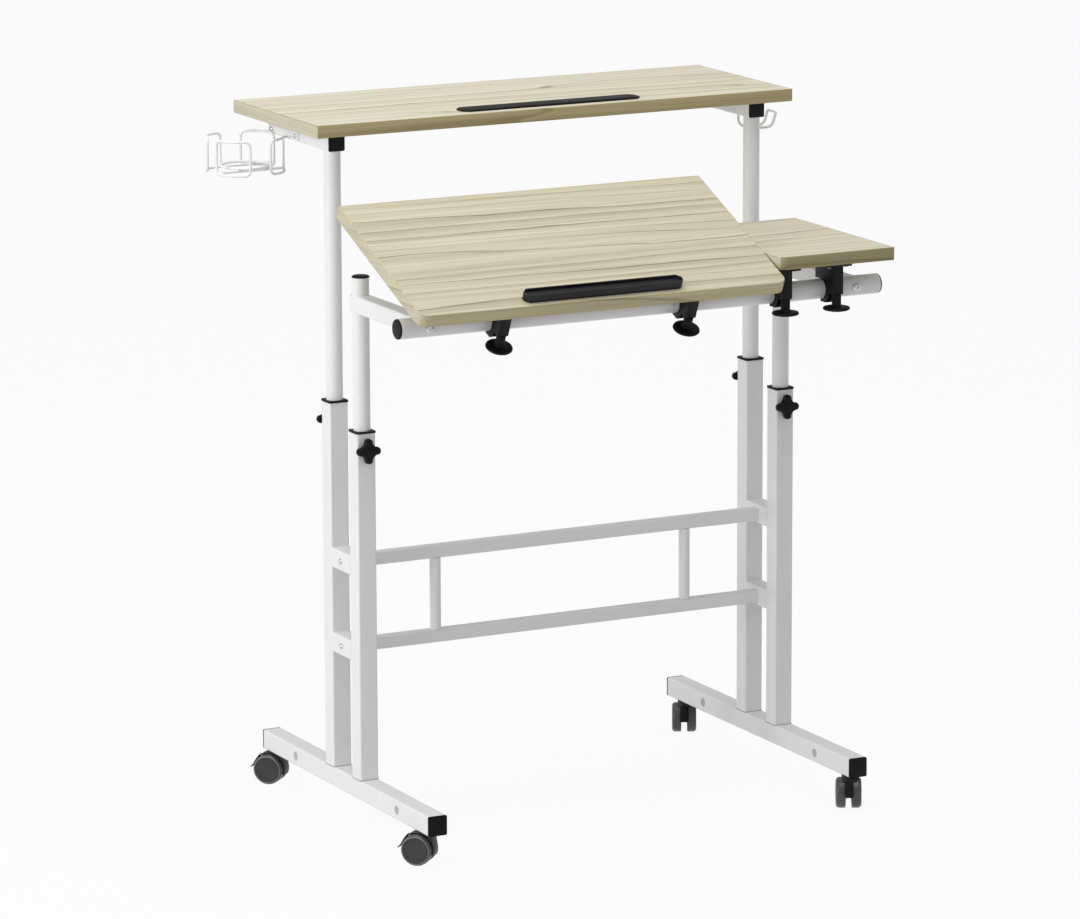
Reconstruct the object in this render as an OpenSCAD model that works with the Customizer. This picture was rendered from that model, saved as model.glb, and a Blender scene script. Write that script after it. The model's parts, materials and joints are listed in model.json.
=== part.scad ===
// Mobile standing desk on four twin-wheel casters.
// Two side frames carry a flat shelf on the rear posts and, on the front posts,
// a cross tube with a tilting work board and a smaller side board.

/* [Base frame] */
// Outer width of the square frame tube
tube_w = 30; // [28:1:34]
// Wall of the frame tube
tube_wall = 1.5; // [1.2:0.1:2]
// Outer corner radius of the frame tube
tube_r = 2.5; // [2:0.5:3]
// How far the side frames' outer faces lie inside the ends of the boards
frame_inset = 30.5; // [25:0.5:60]
// Underside of the feet above the floor
foot_z = 50; // [50:1:60]
// How far the feet reach ahead of the rear uprights
foot_front = 339; // [300:1:400]
// How far the feet reach behind the rear uprights
foot_back = 242; // [200:1:300]
// Distance between the front and rear uprights
upright_gap = 94; // [90:1:110]
// Height of the rear uprights above the feet
rear_upright_h = 558; // [500:1:600]
// Height of the front uprights above the feet
front_upright_h = 528; // [480:1:580]
// Height of the lower side rail above the feet, to its middle
lower_rail_h = 194; // [150:1:230]
// Distance between the two side rails
rail_gap = 130; // [100:1:180]
// Depth of the two crossbars
bar_depth = 15; // [12:1:20]
// Height of the two crossbars
bar_height = 20; // [16:1:26]
// Outside diameter of the two spindles between the crossbars
spindle_d = 17; // [14:1:20]
// Distance between the two spindles
spindle_gap = 426; // [300:1:500]

/* [Posts and arms] */
// Outside diameter of the sliding posts
post_d = 25.4; // [24:0.1:25.6]
// Outer width of the square arm tube
arm_w = 26; // [26:0.5:28]
// Running gap between a post and its bushing
post_fit = 0.05; // [0.02:0.01:0.1]
// How far the desk can slide down from the height shown
desk_drop = 177; // [120:1:177]
// How far the shelf can slide down from the height shown
shelf_drop = 375; // [300:1:375]
// Height of the cross tube's axis above the floor
cross_z = 801; // [801:1:850]
// Distance of the cross tube's axis ahead of the front posts
cross_reach = 213; // [205:1:230]
// Outside diameter of the cross tube
cross_d = 30; // [28:1:32]

/* [Boards] */
// Depth of the shelf
shelf_depth = 300; // [270:1:340]
// Thickness of the shelf
shelf_t = 19; // [18:0.5:25]
// Height of the shelf's top face above the floor
shelf_z = 1061; // [1059:1:1120]
// How far the shelf's front edge lies ahead of the rear posts
shelf_front = 47.4; // [40:0.1:47.4]
// Width of the work board
main_w = 600; // [480:1:720]
// Width of the side board
side_w = 197; // [160:1:240]
// Gap between the work board and the side board
board_gap = 3; // [2:0.5:6]
// Depth of the work board and the side board
board_depth = 300; // [280:1:300]
// Thickness of the work board and the side board
board_t = 19.5; // [18:0.5:22]
// Tilt of the work board
main_tilt = 23.45; // [0:0.05:60]
// Radius of the rounded front corners
corner_r = 16; // [10:1:20]
// Length of the ledge on the work board
ledge_l = 258; // [200:1:400]
// Height of the ledge
ledge_h = 12.5; // [10:0.5:16]

/* [Clamps] */
// Height from the cross tube's axis to the underside of a board
clamp_h = 42.7; // [42:0.1:48]
// Width of a clamp's mounting plate
plate_w = 44; // [40:1:50]
// Width of a clamp's body
clamp_w = 17; // [15:1:20]
// Diameter of a clamp knob
clamp_knob_d = 41; // [36:1:44]

/* [Knobs] */
// Diameter of a star knob across its lobes
star_d = 38; // [36:1:40]
// Thickness of a star knob's head
star_t = 10; // [10:0.5:15]

/* [Casters] */
// Diameter of a caster wheel
wheel_d = 47; // [44:1:47]
// Width of one wheel
wheel_w = 14.5; // [12:0.5:16]
// Gap between the two wheels of a caster
wheel_gap = 9.3; // [9:0.1:11]
// Offset from a caster's stem to its wheel axle
trail = 15; // [14.5:0.5:17]
// Swivel angle of the left casters
swivel_left = 44; // [0:1:360]
// Swivel angle of the right casters
swivel_right = 152; // [0:1:360]

/* [Accessories] */
// Radius of the cup holder, to the middle of its wire
cup_r = 57; // [54:1:62]
// Height of the cup holder, over its wire
cup_h = 55; // [44:0.5:60]
// Diameter of the bent wire
wire_d = 4; // [3.5:0.5:5]
// Distance between the two wires of the hook
hook_gap = 26; // [20:1:34]

/* [Hidden] */
$fn = 48;

// Signs of the two sides
left = -1;
right = 1;

// Clearances and overruns
overrun = 1;
weld_bite = 1;
screw_fit = 0.03;
loose_fit = 0.2;
plug_fit = 0.1;
air = 0.3;

// Heights, widths and places that follow from the driving sizes.
// The shelf and the cross tube are as long as the two boards side by side.
desk_w = main_w + board_gap + side_w;
frame_w = desk_w - 2 * frame_inset;
foot_top = foot_z + tube_w;
side_x = frame_w / 2 - tube_w / 2;
front_y = -upright_gap;
rear_top = foot_top + rear_upright_h;
front_top = foot_top + front_upright_h;
rail_y = front_y / 2;
lower_rail_z = foot_top + lower_rail_h;
upper_rail_z = lower_rail_z + rail_gap;
cross_y = front_y - cross_reach;
inner_w = tube_w - 2 * tube_wall;
inner_r = tube_r - tube_wall;

// End caps
foot_cap_t = 3;
plug_l = 12;

// Foot side holes
foot_hole_d = 14;
foot_hole_front = 107;
foot_hole_back = 120;

// Bolts and nut plates
bolt_r = 4;
bolt_head_r = 6.5;
bolt_head_t = 4;
nut_plate_t = 4;
bar_bolt_r = 3;
bar_head_r = 4.2;
bar_head_t = 2.5;
bar_wall = 1.5;
bar_r = 2;
bar_plug_l = 14;
spindle_wall = 1.5;

// Bushings and guides
bushing_t = 3;
bushing_over = 2;
bushing_l = 35;
bushing_fit = 0.05;
guide_fit = 0.2;
guide_flange = 4;
guide_l = 20;
guide_spigot_l = 12;
stop_gap = 2;
post_r = post_d / 2;
post_wall = 1.5;
bore_r = post_r + post_fit;
front_post_bottom = foot_top + nut_plate_t + stop_gap + guide_flange + desk_drop;
rear_post_bottom = foot_top + nut_plate_t + stop_gap + guide_flange + shelf_drop;

// Arms
arm_wall = 1.5;
arm_r = 2.5;
arm_cap_t = 2;
shelf_arm_front = 17;
shelf_arm_back = 195;
shelf_bottom = shelf_z - shelf_t;
shelf_arm_z = shelf_bottom - arm_w / 2;
arm_face = side_x + arm_w / 2;
post_above_arm = 26;
post_cap_t = 3;
post_cap_over = 0.8;
post_cap_plug = 10;
arm_block_l = 16;

// Cross tube
cross_r = cross_d / 2;
cross_wall = 1.5;
cross_cap_t = 3;
cross_screw_r = 3;
cross_head_r = 6.5;
cross_head_t = 3.6;
recess_l = 7;
recess_w = 1.6;
recess_depth = 1.6;

// Shelf screws and strip
shelf_screw_r = 2.5;
shelf_screw_head_r = 4.5;
shelf_screw_head_t = 2.5;
shelf_screw_into = 13;
shelf_screw_front = 35;
shelf_screw_back = 165;
strip_l = 300;
strip_w = 36;
strip_t = 3;
strip_front = 29;
strip_chamfer = 9;
strip_edge = 1;

// Accessories on the shelf arms
wire_r = wire_d / 2;
wire_bite = 0.4;
wire_gap = 0.02;
wire_swell = 0.05;
cup_half_angle = 28;
cup_bend_r = 8;
cup_y = 150;
cup_drop = 19;
cup_top = shelf_bottom - cup_drop;
cup_arc_r = cup_r - cup_bend_r * cos(cup_half_angle) / sin(cup_half_angle);
cup_arc_x = cup_r * cos(cup_half_angle) + cup_bend_r * sin(cup_half_angle) - cup_arc_r * cos(cup_half_angle);
cup_ring_r = 37;
cup_cross_y = 28;
bar_l = 102;
bar_t = 3;
bar_h = 14;
bar_y = 136;
bar_drop = 17;
bar_z = shelf_bottom - bar_drop;
bar_screw_gap = 85.3;
cup_x = -(arm_face + bar_t + wire_r + wire_swell + wire_gap + cup_r * cos(45 - cup_half_angle));
small_screw_r = 2;
small_head_r = 3.5;
small_head_t = 2.2;
small_screw_l = 9;
hook_y = 58;
hook_plate_l = 44;
hook_plate_h = 16;
hook_plate_t = 2;
hook_drop = 15;
hook_plate_z = shelf_bottom - hook_drop;
hook_bend_r = 12;
hook_leg = 34;
hook_floor = 24;
hook_rise = 15;
hook_open = 72;

// Boards
main_left = desk_w / 2;
main_centre = main_w / 2 - main_left;
side_left = desk_w / 2 - side_w;
main_front = 63;
side_front = 50;
sharp_r = 3;
ledge_w = 20;
ledge_setback = 8;
ledge_end = 6.5;
ledge_wall = 2;
ledge_recess = 4;
mitre_share = 2 - sqrt(2);

// Clamps
clamp_plate_t = 4;
clamp_plate_front = 43;
clamp_plate_back = 13;
clamp_front = 38;
clamp_back = 15.8;
clamp_block_bottom = 3.8;
clamp_lip = 3.5;
clamp_toe = 24;
clamp_chamfer = 9;
seat_r = cross_r + air;
clamp_screw_r = 4;
clamp_screw_fit = 0.05;
clamp_axis = 33;
clamp_bore_top = 15;
clamp_pin_r = 2.5;
clamp_pin_z = 8;
clamp_neck_r = 7;
clamp_knob_t = 7;
clamp_knob_gap = 18.2;
clamp_knob_dish_share = 0.55;
clamp_knob_crown_share = 0.8;
plate_corner_r = 3;
plate_screw_r = 1.75;
plate_head_r = 3.5;
plate_head_t = 2;
plate_screw_into = 12;
plate_screw_x = 15;
plate_screw_front = 36;
plate_screw_back = 7;
main_clamp_left_in = 145;
main_clamp_right_in = 163;
side_clamp_left_in = 20;
side_clamp_from_arm = 44.5;
main_clamps = [main_centre - main_clamp_left_in, main_centre + main_clamp_right_in];
side_clamps = [side_left + side_clamp_left_in, side_x - side_clamp_from_arm];

// Star knobs
knob_drop = 25.5;
rear_knob_drop = 30;
stud_r = 4;
stud_fit = 0.06;
nut_flange_t = 1.2;
nut_flange_r = 7;
nut_body_r = 5.2;
star_neck = 3;
star_neck_r = 8.5;
star_scallop_r = 9.5;
star_scallop_place = 21.3;
star_round = 2;
star_crown = 1.5;
star_crown_r = 9;
stud_depth = 9;

// Casters
wheel_r = wheel_d / 2;
stem_inset = 30;
stem_r = 3;
stem_fit = 0.05;
stem_collar_r = 9;
stem_collar_t = 1;
stem_thread_r = 4;
stem_thread_l = 12;
stem_nut_r = 7.5;
stem_nut_t = 6;
stem_foot = 27;
side_play = 0.35;
hood_gap = 0.8;
hood_t = 1.5;
hood_w = 20;
hood_from = 55;
hood_to = 200;
fin_from = -8;
boss_half = 7;
axle_r = 2.5;
axle_boss_r = 6;
brake_w = 13;
tongue_w = 3.4;
slot_w = 4;
slot_from = 10;
pivot_y = 16;
pivot_z = 8;
pivot_r = 1.25;
pivot_eye_r = 3;
tread_edge = 2.6;
rim_step = 1.2;
rim_inner_share = 0.86;
rim_outer_share = 0.92;
tread_share = 0.965;
// Outline of the brake pedal, as shares of the wheel's radius from the axle
pedal_shares = [
    [0.75, 0.87], [0.98, 0.57], [1.17, 0.22], [1.36, 0.02], [1.33, -0.04], [1.13, 0.12],
    [1.06, 0.29], [0.86, 0.66], [0.72, 0.80]
];
// Outline of the pedal's tongue, as shares of the wheel's radius from the axle
tongue_shares = [[0.56, 0.38], [0.76, 0.79], [0.90, 0.63], [1.04, 0.38], [0.74, 0.23]];

// Outer limits of the whole desk, that its origin is centred on
reach_left = cup_x - cup_r * cos(45 - cup_half_angle) - wire_r - wire_swell;
reach_right = arm_face + hook_plate_t - wire_bite + 2 * wire_r + hook_reach();
reach_front = cross_y - main_front * cos(main_tilt) - (clamp_h + board_t) * sin(main_tilt);
reach_back = shelf_depth - shelf_front;

// Colours
powder = "#ECECEC";
steel = "#B9BCC0";
black = "#2B2B2B";
dark_grey = "#3A3A3A";
oak = "#DDD8BE";

function hook_reach() =
    hook_bend_r + hook_floor + hook_bend_r * sin(hook_open) + hook_rise * cos(hook_open);
function polar(r, a) = [r * cos(a), r * sin(a)];
// Point where a line from p touches the circle of radius r round the origin
function touch(p, r, turn) = polar(r, atan2(p[1], p[0]) + turn * acos(r / norm(p)));

// Shared shapes

module home() {
    translate([-(reach_left + reach_right) / 2, -(reach_front + reach_back) / 2, 0]) children();
}

module rounded_rect(w, h, r) {
    square([w - 2 * r, h], center = true);
    square([w, h - 2 * r], center = true);
    for (sx = [-1, 1], sy = [-1, 1]) {
        translate([sx * (w / 2 - r), sy * (h / 2 - r)]) circle(r = r);
    }
}

module box_tube(w, h, r, wall) {
    difference() {
        rounded_rect(w, h, r);
        rounded_rect(w - 2 * wall, h - 2 * wall, r - wall);
    }
}

module ring(outer, inner) {
    difference() {
        circle(r = outer);
        circle(r = inner);
    }
}

// The outline's x and y become y and z, and it runs from x0 to x1
module along_x(x0, x1) {
    translate([x0, 0, 0]) rotate([90, 0, 90]) linear_extrude(x1 - x0) children();
}

// The outline's x and y become x and z, and it runs from y0 to y1
module along_y(y0, y1) {
    translate([0, y1, 0]) rotate([90, 0, 0]) linear_extrude(y1 - y0) children();
}

module rod_x(x0, x1, r) {
    along_x(x0, x1) circle(r = r);
}

module rod_y(y0, y1, r) {
    along_y(y0, y1) circle(r = r);
}

module rod_z(z0, z1, r) {
    translate([0, 0, z0]) cylinder(h = z1 - z0, r = r);
}

// Screw along +Z with its head below z = 0
module pan_screw(head_r, head_t, shank_r, shank_l) {
    rotate_extrude() polygon([
        [0, -head_t], [head_r * 0.7, -head_t], [head_r, -head_t * 0.5], [head_r, 0],
        [shank_r, 0], [shank_r, shank_l], [0, shank_l]
    ]);
}

// Base frame

module upright(top, hole_drop, face) {
    difference() {
        rod_square(foot_top, top, tube_w, tube_r);
        rod_square(foot_top + nut_plate_t, top + overrun, inner_w, inner_r);
        rod_z(foot_top - overrun, foot_top + nut_plate_t + overrun, bolt_r + screw_fit);
        translate([0, 0, top - hole_drop]) {
            rod_y(min(0, face * tube_w), max(0, face * tube_w), nut_body_r + screw_fit);
        }
    }
}

module rod_square(z0, z1, w, r) {
    translate([0, 0, z0]) linear_extrude(z1 - z0) rounded_rect(w, w, r);
}

module side_rail(z) {
    half = tube_w / 2 - weld_bite;
    difference() {
        translate([0, 0, z]) along_y(front_y + half, -half) box_tube(tube_w, tube_w, tube_r, tube_wall);
        translate([0, rail_y, z]) rod_x(-tube_w, tube_w, bar_bolt_r + loose_fit);
    }
}

module side_frame(side) {
    color(powder) home() translate([side * side_x, 0, 0]) {
        upright(rear_top, rear_knob_drop, 1);
        translate([0, front_y, 0]) upright(front_top, knob_drop, -1);
        side_rail(lower_rail_z);
        side_rail(upper_rail_z);
    }
}

module foot(side) {
    centre_z = foot_z + tube_w / 2;
    color(powder) home() translate([side * side_x, 0, 0]) difference() {
        translate([0, 0, centre_z]) along_y(-foot_front + foot_cap_t, foot_back - foot_cap_t) {
            box_tube(tube_w, tube_w, tube_r, tube_wall);
        }
        for (y = [-foot_front + foot_hole_front, foot_back - foot_hole_back]) {
            translate([0, y, centre_z]) rod_x(-tube_w, tube_w, foot_hole_d / 2);
        }
        for (y = [0, front_y]) {
            translate([0, y, 0]) rod_z(foot_z - overrun, foot_top + overrun, bolt_r + loose_fit);
        }
        for (y = [-foot_front + stem_inset, foot_back - stem_inset]) {
            translate([0, y, 0]) rod_z(foot_z - overrun, foot_z + tube_w / 2, stem_thread_r + loose_fit);
        }
    }
}

// A square cap on the -Y end of a tube whose end face lies at y = 0
module square_cap(w, r, wall, cap_t) {
    plug = w - 2 * wall - 2 * plug_fit;
    along_y(-cap_t, 0) rounded_rect(w, w, r);
    difference() {
        along_y(0, plug_l) rounded_rect(plug, plug, r - wall);
        along_y(0, plug_l + overrun) rounded_rect(plug - 2 * cap_t, plug - 2 * cap_t, r - wall);
    }
}

module foot_end_caps() {
    color(black) home() for (side = [left, right]) {
        translate([side * side_x, 0, foot_z + tube_w / 2]) {
            translate([0, -foot_front + foot_cap_t, 0]) square_cap(tube_w, tube_r, tube_wall, foot_cap_t);
            translate([0, foot_back - foot_cap_t, 0]) rotate([0, 0, 180]) {
                square_cap(tube_w, tube_r, tube_wall, foot_cap_t);
            }
        }
    }
}

module crossbar(z) {
    half = side_x - tube_w / 2;
    color(powder) home() translate([0, rail_y, z]) difference() {
        along_x(-half, half) rounded_rect(bar_depth, bar_height, bar_r);
        along_x(-half + bar_plug_l, half - bar_plug_l) {
            rounded_rect(bar_depth - 2 * bar_wall, bar_height - 2 * bar_wall, bar_r - bar_wall);
        }
        for (side = [left, right]) {
            translate([side * half, 0, 0]) {
                rod_x(-bar_plug_l - overrun, bar_plug_l + overrun, bar_bolt_r + screw_fit);
            }
        }
    }
}

module brace_spindles() {
    color(powder) home() for (side = [left, right]) {
        translate([side * spindle_gap / 2, rail_y, lower_rail_z + bar_height / 2]) {
            linear_extrude(rail_gap - bar_height) ring(spindle_d / 2, spindle_d / 2 - spindle_wall);
        }
    }
}

module crossbar_bolts() {
    color(steel) home() for (side = [left, right], z = [lower_rail_z, upper_rail_z]) {
        translate([side * frame_w / 2, rail_y, z]) rotate([0, -side * 90, 0]) {
            pan_screw(bar_head_r, bar_head_t, bar_bolt_r, tube_w + bar_plug_l - overrun);
        }
    }
}

module foot_bolts() {
    color(steel) home() for (side = [left, right], y = [0, front_y]) {
        translate([side * side_x, y, foot_z]) {
            pan_screw(bolt_head_r, bolt_head_t, bolt_r, tube_w + nut_plate_t);
        }
    }
}

module bushing(top, hole_drop, face) {
    plate = tube_w + bushing_over;
    difference() {
        union() {
            rod_square(top, top + bushing_t, plate, tube_r + bushing_over / 2);
            rod_square(top - bushing_l, top + weld_bite, inner_w - 2 * bushing_fit, inner_r - bushing_fit);
        }
        rod_z(top - bushing_l - overrun, top + bushing_t + overrun, bore_r);
        translate([0, 0, top - hole_drop]) {
            rod_y(min(0, face * tube_w), max(0, face * tube_w), stud_r + loose_fit);
        }
    }
}

module upright_bushings() {
    color(black) home() for (side = [left, right]) {
        translate([side * side_x, 0, 0]) bushing(rear_top, rear_knob_drop, 1);
        translate([side * side_x, front_y, 0]) bushing(front_top, knob_drop, -1);
    }
}

// Places its children at a knob, with +Z pointing out of the upright's face
module at_knob(side, front) {
    y = front ? front_y - tube_w / 2 : tube_w / 2;
    z = front ? front_top - knob_drop : rear_top - rear_knob_drop;
    home() translate([side * side_x, y, z]) rotate([front ? 90 : -90, 0, 0]) children();
}

module knob_nuts() {
    color(steel) for (side = [left, right], front = [false, true]) {
        at_knob(side, front) difference() {
            union() {
                rod_z(0, nut_flange_t, nut_flange_r);
                rod_z(-tube_wall, weld_bite, nut_body_r);
            }
            rod_z(-tube_wall - overrun, nut_flange_t + overrun, stud_r + stud_fit);
        }
    }
}

module star_outline() {
    difference() {
        circle(d = star_d);
        for (a = [45:90:315]) {
            rotate(a) translate([star_scallop_place, 0]) circle(r = star_scallop_r);
        }
    }
}

module star_knob(side, front) {
    base = star_neck;
    top = base + star_t;
    r = star_d / 2;
    tip = tube_w / 2 - post_r - air;
    at_knob(side, front) {
        color(black) difference() {
            union() {
                intersection() {
                    translate([0, 0, base]) linear_extrude(star_t) star_outline();
                    rotate_extrude() polygon([
                        [0, base], [r - star_round, base], [r, base + star_round],
                        [r, top - 2 * star_round], [r - star_round, top - star_crown],
                        [star_crown_r, top], [0, top]
                    ]);
                }
                rod_z(nut_flange_t + air, base + weld_bite, star_neck_r);
            }
            rod_z(0, base + stud_depth, stud_r + screw_fit);
        }
        color(steel) rod_z(-tip, base + stud_depth - overrun, stud_r);
    }
}

// Casters

module at_caster(side, front) {
    y = front ? -foot_front + stem_inset : foot_back - stem_inset;
    home() translate([side * side_x, y, 0]) children();
}

module swivelled(side) {
    rotate([0, 0, side == left ? swivel_left : swivel_right]) children();
}

module caster_stems() {
    color(steel) for (side = [left, right], front = [false, true]) {
        at_caster(side, front) {
            rod_z(stem_foot, foot_z - stem_collar_t + overrun, stem_r);
            rod_z(foot_z - stem_collar_t, foot_z, stem_collar_r);
            rod_z(foot_z - overrun, foot_z + stem_thread_l, stem_thread_r);
            translate([0, 0, foot_z + tube_wall]) difference() {
                cylinder(h = stem_nut_t, r = stem_nut_r, $fn = 6);
                rod_z(-overrun, stem_nut_t + overrun, stem_thread_r + screw_fit);
            }
        }
    }
}

// Part of the plane between two angles, seen from the axle
module wedge(from, to) {
    reach = 2 * wheel_d;
    step = (to - from) / 4;
    polygon([[0, 0], for (i = [0:4]) polar(reach, from + i * step)]);
}

module hood_outline() {
    r = wheel_r + hood_gap + hood_t;
    top = foot_z - stem_collar_t - air - wheel_r;
    front_top_point = [-trail - boss_half, top];
    back_top_point = [-trail + boss_half, top];
    intersection() {
        union() {
            circle(r = r);
            polygon([
                [0, 0], touch(back_top_point, r, -1), back_top_point,
                front_top_point, touch(front_top_point, r, 1)
            ]);
        }
        wedge(hood_from, hood_to);
    }
}

module fin_outline() {
    intersection() {
        circle(r = wheel_r + hood_gap + hood_t / 2);
        wedge(hood_from, hood_to);
    }
    intersection() {
        circle(r = wheel_r);
        wedge(fin_from, hood_to);
    }
    circle(r = axle_boss_r);
}

module caster_housing(side, front) {
    fin_w = wheel_gap - 2 * side_play;
    color(dark_grey) at_caster(side, front) swivelled(side) difference() {
        translate([0, trail, wheel_r]) union() {
            difference() {
                along_x(-hood_w / 2, hood_w / 2) hood_outline();
                rod_x(-hood_w, hood_w, wheel_r + hood_gap);
            }
            along_x(-fin_w / 2, fin_w / 2) {
                fin_outline();
                hood_outline();
            }
        }
        translate([0, trail, wheel_r]) rod_x(-hood_w, hood_w, axle_r + stem_fit);
        translate([0, trail + pivot_y, wheel_r + pivot_z]) rod_x(-hood_w, hood_w, pivot_r + stem_fit);
        translate([-slot_w / 2, trail + slot_from, 0]) cube([slot_w, wheel_d, foot_z]);
        rod_z(stem_foot - air, foot_z, stem_r + stem_fit);
    }
}

module caster_wheel() {
    r = wheel_r;
    difference() {
        rotate([0, 90, 0]) rotate_extrude($fn = 96) polygon([
            [0, 0], [r * rim_outer_share, 0], [r * tread_share, rim_step], [r, tread_edge],
            [r, wheel_w - 2 * tread_edge], [r * tread_share, wheel_w - tread_edge],
            [r * rim_outer_share, wheel_w], [r * rim_inner_share, wheel_w],
            [r * rim_inner_share - rim_step / 2, wheel_w - rim_step], [0, wheel_w - rim_step]
        ]);
        rod_x(-overrun, wheel_w - 2 * tread_edge, axle_r + screw_fit);
    }
}

module caster_wheels(side, front) {
    at_caster(side, front) swivelled(side) translate([0, trail, wheel_r]) {
        color(dark_grey) for (turn = [0, 180]) {
            rotate([0, 0, turn]) translate([wheel_gap / 2, 0, 0]) caster_wheel();
        }
        color(steel) rod_x(-wheel_gap, wheel_gap, axle_r);
    }
}

module caster_brake(side, front) {
    color(black) at_caster(side, front) swivelled(side) translate([0, trail, wheel_r]) {
        along_x(-brake_w / 2, brake_w / 2) polygon(wheel_r * pedal_shares);
        along_x(-tongue_w / 2, tongue_w / 2) {
            polygon(wheel_r * tongue_shares);
            translate([pivot_y, pivot_z]) circle(r = pivot_eye_r);
        }
        translate([0, pivot_y, pivot_z]) {
            rod_x(-wheel_gap / 2 + side_play, wheel_gap / 2 - side_play, pivot_r);
        }
    }
}

// Shelf and rear posts

module shelf_board() {
    hole_l = shelf_screw_into + overrun;
    color(oak) home() difference() {
        translate([-desk_w / 2, -shelf_front, shelf_bottom]) cube([desk_w, shelf_depth, shelf_t]);
        for (side = [left, right], y = [shelf_screw_front, shelf_screw_back]) {
            translate([side * side_x, y, 0]) {
                rod_z(shelf_bottom - overrun, shelf_bottom + hole_l, shelf_screw_r + screw_fit);
            }
        }
    }
}

module shelf_stop_strip() {
    half = strip_l / 2;
    cut = strip_chamfer;
    color(black) home() translate([0, -strip_front, shelf_z]) {
        linear_extrude(strip_t - strip_edge) polygon([
            [-half + cut, 0], [half - cut, 0], [half, cut], [half, strip_w - cut],
            [half - cut, strip_w], [-half + cut, strip_w], [-half, strip_w - cut], [-half, cut]
        ]);
        translate([0, 0, strip_t - strip_edge - overrun]) linear_extrude(strip_edge + overrun) polygon([
            [-half + cut, strip_edge], [half - cut, strip_edge],
            [half - strip_edge, cut], [half - strip_edge, strip_w - cut],
            [half - cut, strip_w - strip_edge], [-half + cut, strip_w - strip_edge],
            [-half + strip_edge, strip_w - cut], [-half + strip_edge, cut]
        ]);
    }
}

module shelf_post(side) {
    centre_y = side == left ? bar_y : hook_y;
    reach = side == left ? bar_screw_gap / 2 : hook_gap / 4;
    screw_z = side == left ? bar_z : hook_plate_z;
    post_l = shelf_arm_z - arm_w / 2 + weld_bite - rear_post_bottom;
    color(powder) home() translate([side * side_x, 0, 0]) difference() {
        union() {
            translate([0, 0, shelf_arm_z]) {
                along_y(-shelf_arm_front + arm_cap_t, shelf_arm_back - arm_cap_t) {
                    box_tube(arm_w, arm_w, arm_r, arm_wall);
                }
            }
            translate([0, 0, rear_post_bottom]) linear_extrude(post_l) ring(post_r, post_r - post_wall);
        }
        for (y = [shelf_screw_front, shelf_screw_back]) {
            translate([0, y, shelf_arm_z]) rod_z(-arm_w, arm_w, shelf_screw_r + loose_fit);
        }
        for (y = [centre_y - reach, centre_y + reach]) {
            translate([0, y, screw_z]) {
                rod_x(min(0, side * arm_w), max(0, side * arm_w), small_screw_r + screw_fit);
            }
        }
    }
}

module shelf_arm_caps() {
    color(black) home() for (side = [left, right]) {
        translate([side * side_x, 0, shelf_arm_z]) {
            translate([0, -shelf_arm_front + arm_cap_t, 0]) square_cap(arm_w, arm_r, arm_wall, arm_cap_t);
            translate([0, shelf_arm_back - arm_cap_t, 0]) rotate([0, 0, 180]) {
                square_cap(arm_w, arm_r, arm_wall, arm_cap_t);
            }
        }
    }
}

module shelf_screws() {
    color(steel) home() for (side = [left, right], y = [shelf_screw_front, shelf_screw_back]) {
        translate([side * side_x, y, shelf_arm_z - arm_w / 2]) {
            pan_screw(shelf_screw_head_r, shelf_screw_head_t, shelf_screw_r, arm_w + shelf_screw_into);
        }
    }
}

// Post guide: a plastic end that runs inside the upright and holds the post's lower end
module post_guide(bottom) {
    w = inner_w - 2 * guide_fit;
    difference() {
        rod_square(bottom - guide_flange, bottom + guide_l - guide_flange, w, inner_r + guide_fit);
        rod_z(bottom, bottom + guide_l, post_r + screw_fit);
    }
    rod_z(bottom - overrun, bottom + guide_spigot_l, post_r - post_wall - screw_fit);
}

module rear_post_guides() {
    color(black) home() for (side = [left, right]) {
        translate([side * side_x, 0, 0]) post_guide(rear_post_bottom);
    }
}

// A bend of wire round the origin in the XY plane
module wire_arc(r, from, to) {
    rotate([0, 0, from]) rotate_extrude(angle = to - from) translate([r, 0]) circle(r = wire_r, $fn = 24);
}

// The same bend in the XZ plane, with a slight swell where it meets its neighbours
module upright_arc(r, from, to) {
    rotate([90, 0, 0]) wire_arc(r, from, to);
    for (a = [from, to]) {
        translate([r * cos(a), 0, r * sin(a)]) sphere(r = wire_r + wire_swell, $fn = 24);
    }
}

// One loop of the cup holder, centred on the +X direction
module cup_loop() {
    a = cup_half_angle;
    height = cup_h - wire_d;
    for (z = [0, height]) {
        translate([cup_arc_x, 0, z]) wire_arc(cup_arc_r, -a, a);
    }
    for (s = [-1, 1]) {
        rotate([0, 0, s * a]) translate([cup_r, 0, 0]) rotate([0, 0, -s * 90]) {
            rod_z(cup_bend_r, height - cup_bend_r, wire_r, $fn = 24);
            translate([cup_bend_r, 0, height - cup_bend_r]) upright_arc(cup_bend_r, 90, 180);
            translate([cup_bend_r, 0, cup_bend_r]) upright_arc(cup_bend_r, 180, 270);
        }
    }
}

module cup_holder() {
    arc_place = cup_arc_x * cos(45);
    cross_half = arc_place + cup_arc_r * cos(asin((cup_cross_y - arc_place) / cup_arc_r));
    step = wire_d + wire_gap;
    color(powder) home() {
        translate([cup_x, cup_y, cup_top - cup_h + wire_r]) {
            for (turn = [45, -45]) {
                rotate([0, 0, turn]) mirror([0, 1, 0]) cup_loop();
                mirror([1, 0, 0]) rotate([0, 0, turn]) cup_loop();
            }
            for (s = [-1, 1]) {
                translate([0, s * cup_cross_y, step]) rod_x(-cross_half, cross_half, wire_r, $fn = 24);
            }
            translate([0, 0, 2 * step]) rotate_extrude() {
                translate([cup_ring_r, 0]) circle(r = wire_r, $fn = 24);
            }
        }
        difference() {
            translate([-arm_face - bar_t, bar_y - bar_l / 2, bar_z - bar_h / 2]) cube([bar_t, bar_l, bar_h]);
            for (s = [-1, 1]) {
                translate([-arm_face, bar_y + s * bar_screw_gap / 2, bar_z]) {
                    rod_x(-bar_t - overrun, overrun, small_screw_r + loose_fit);
                }
            }
        }
    }
}

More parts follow.
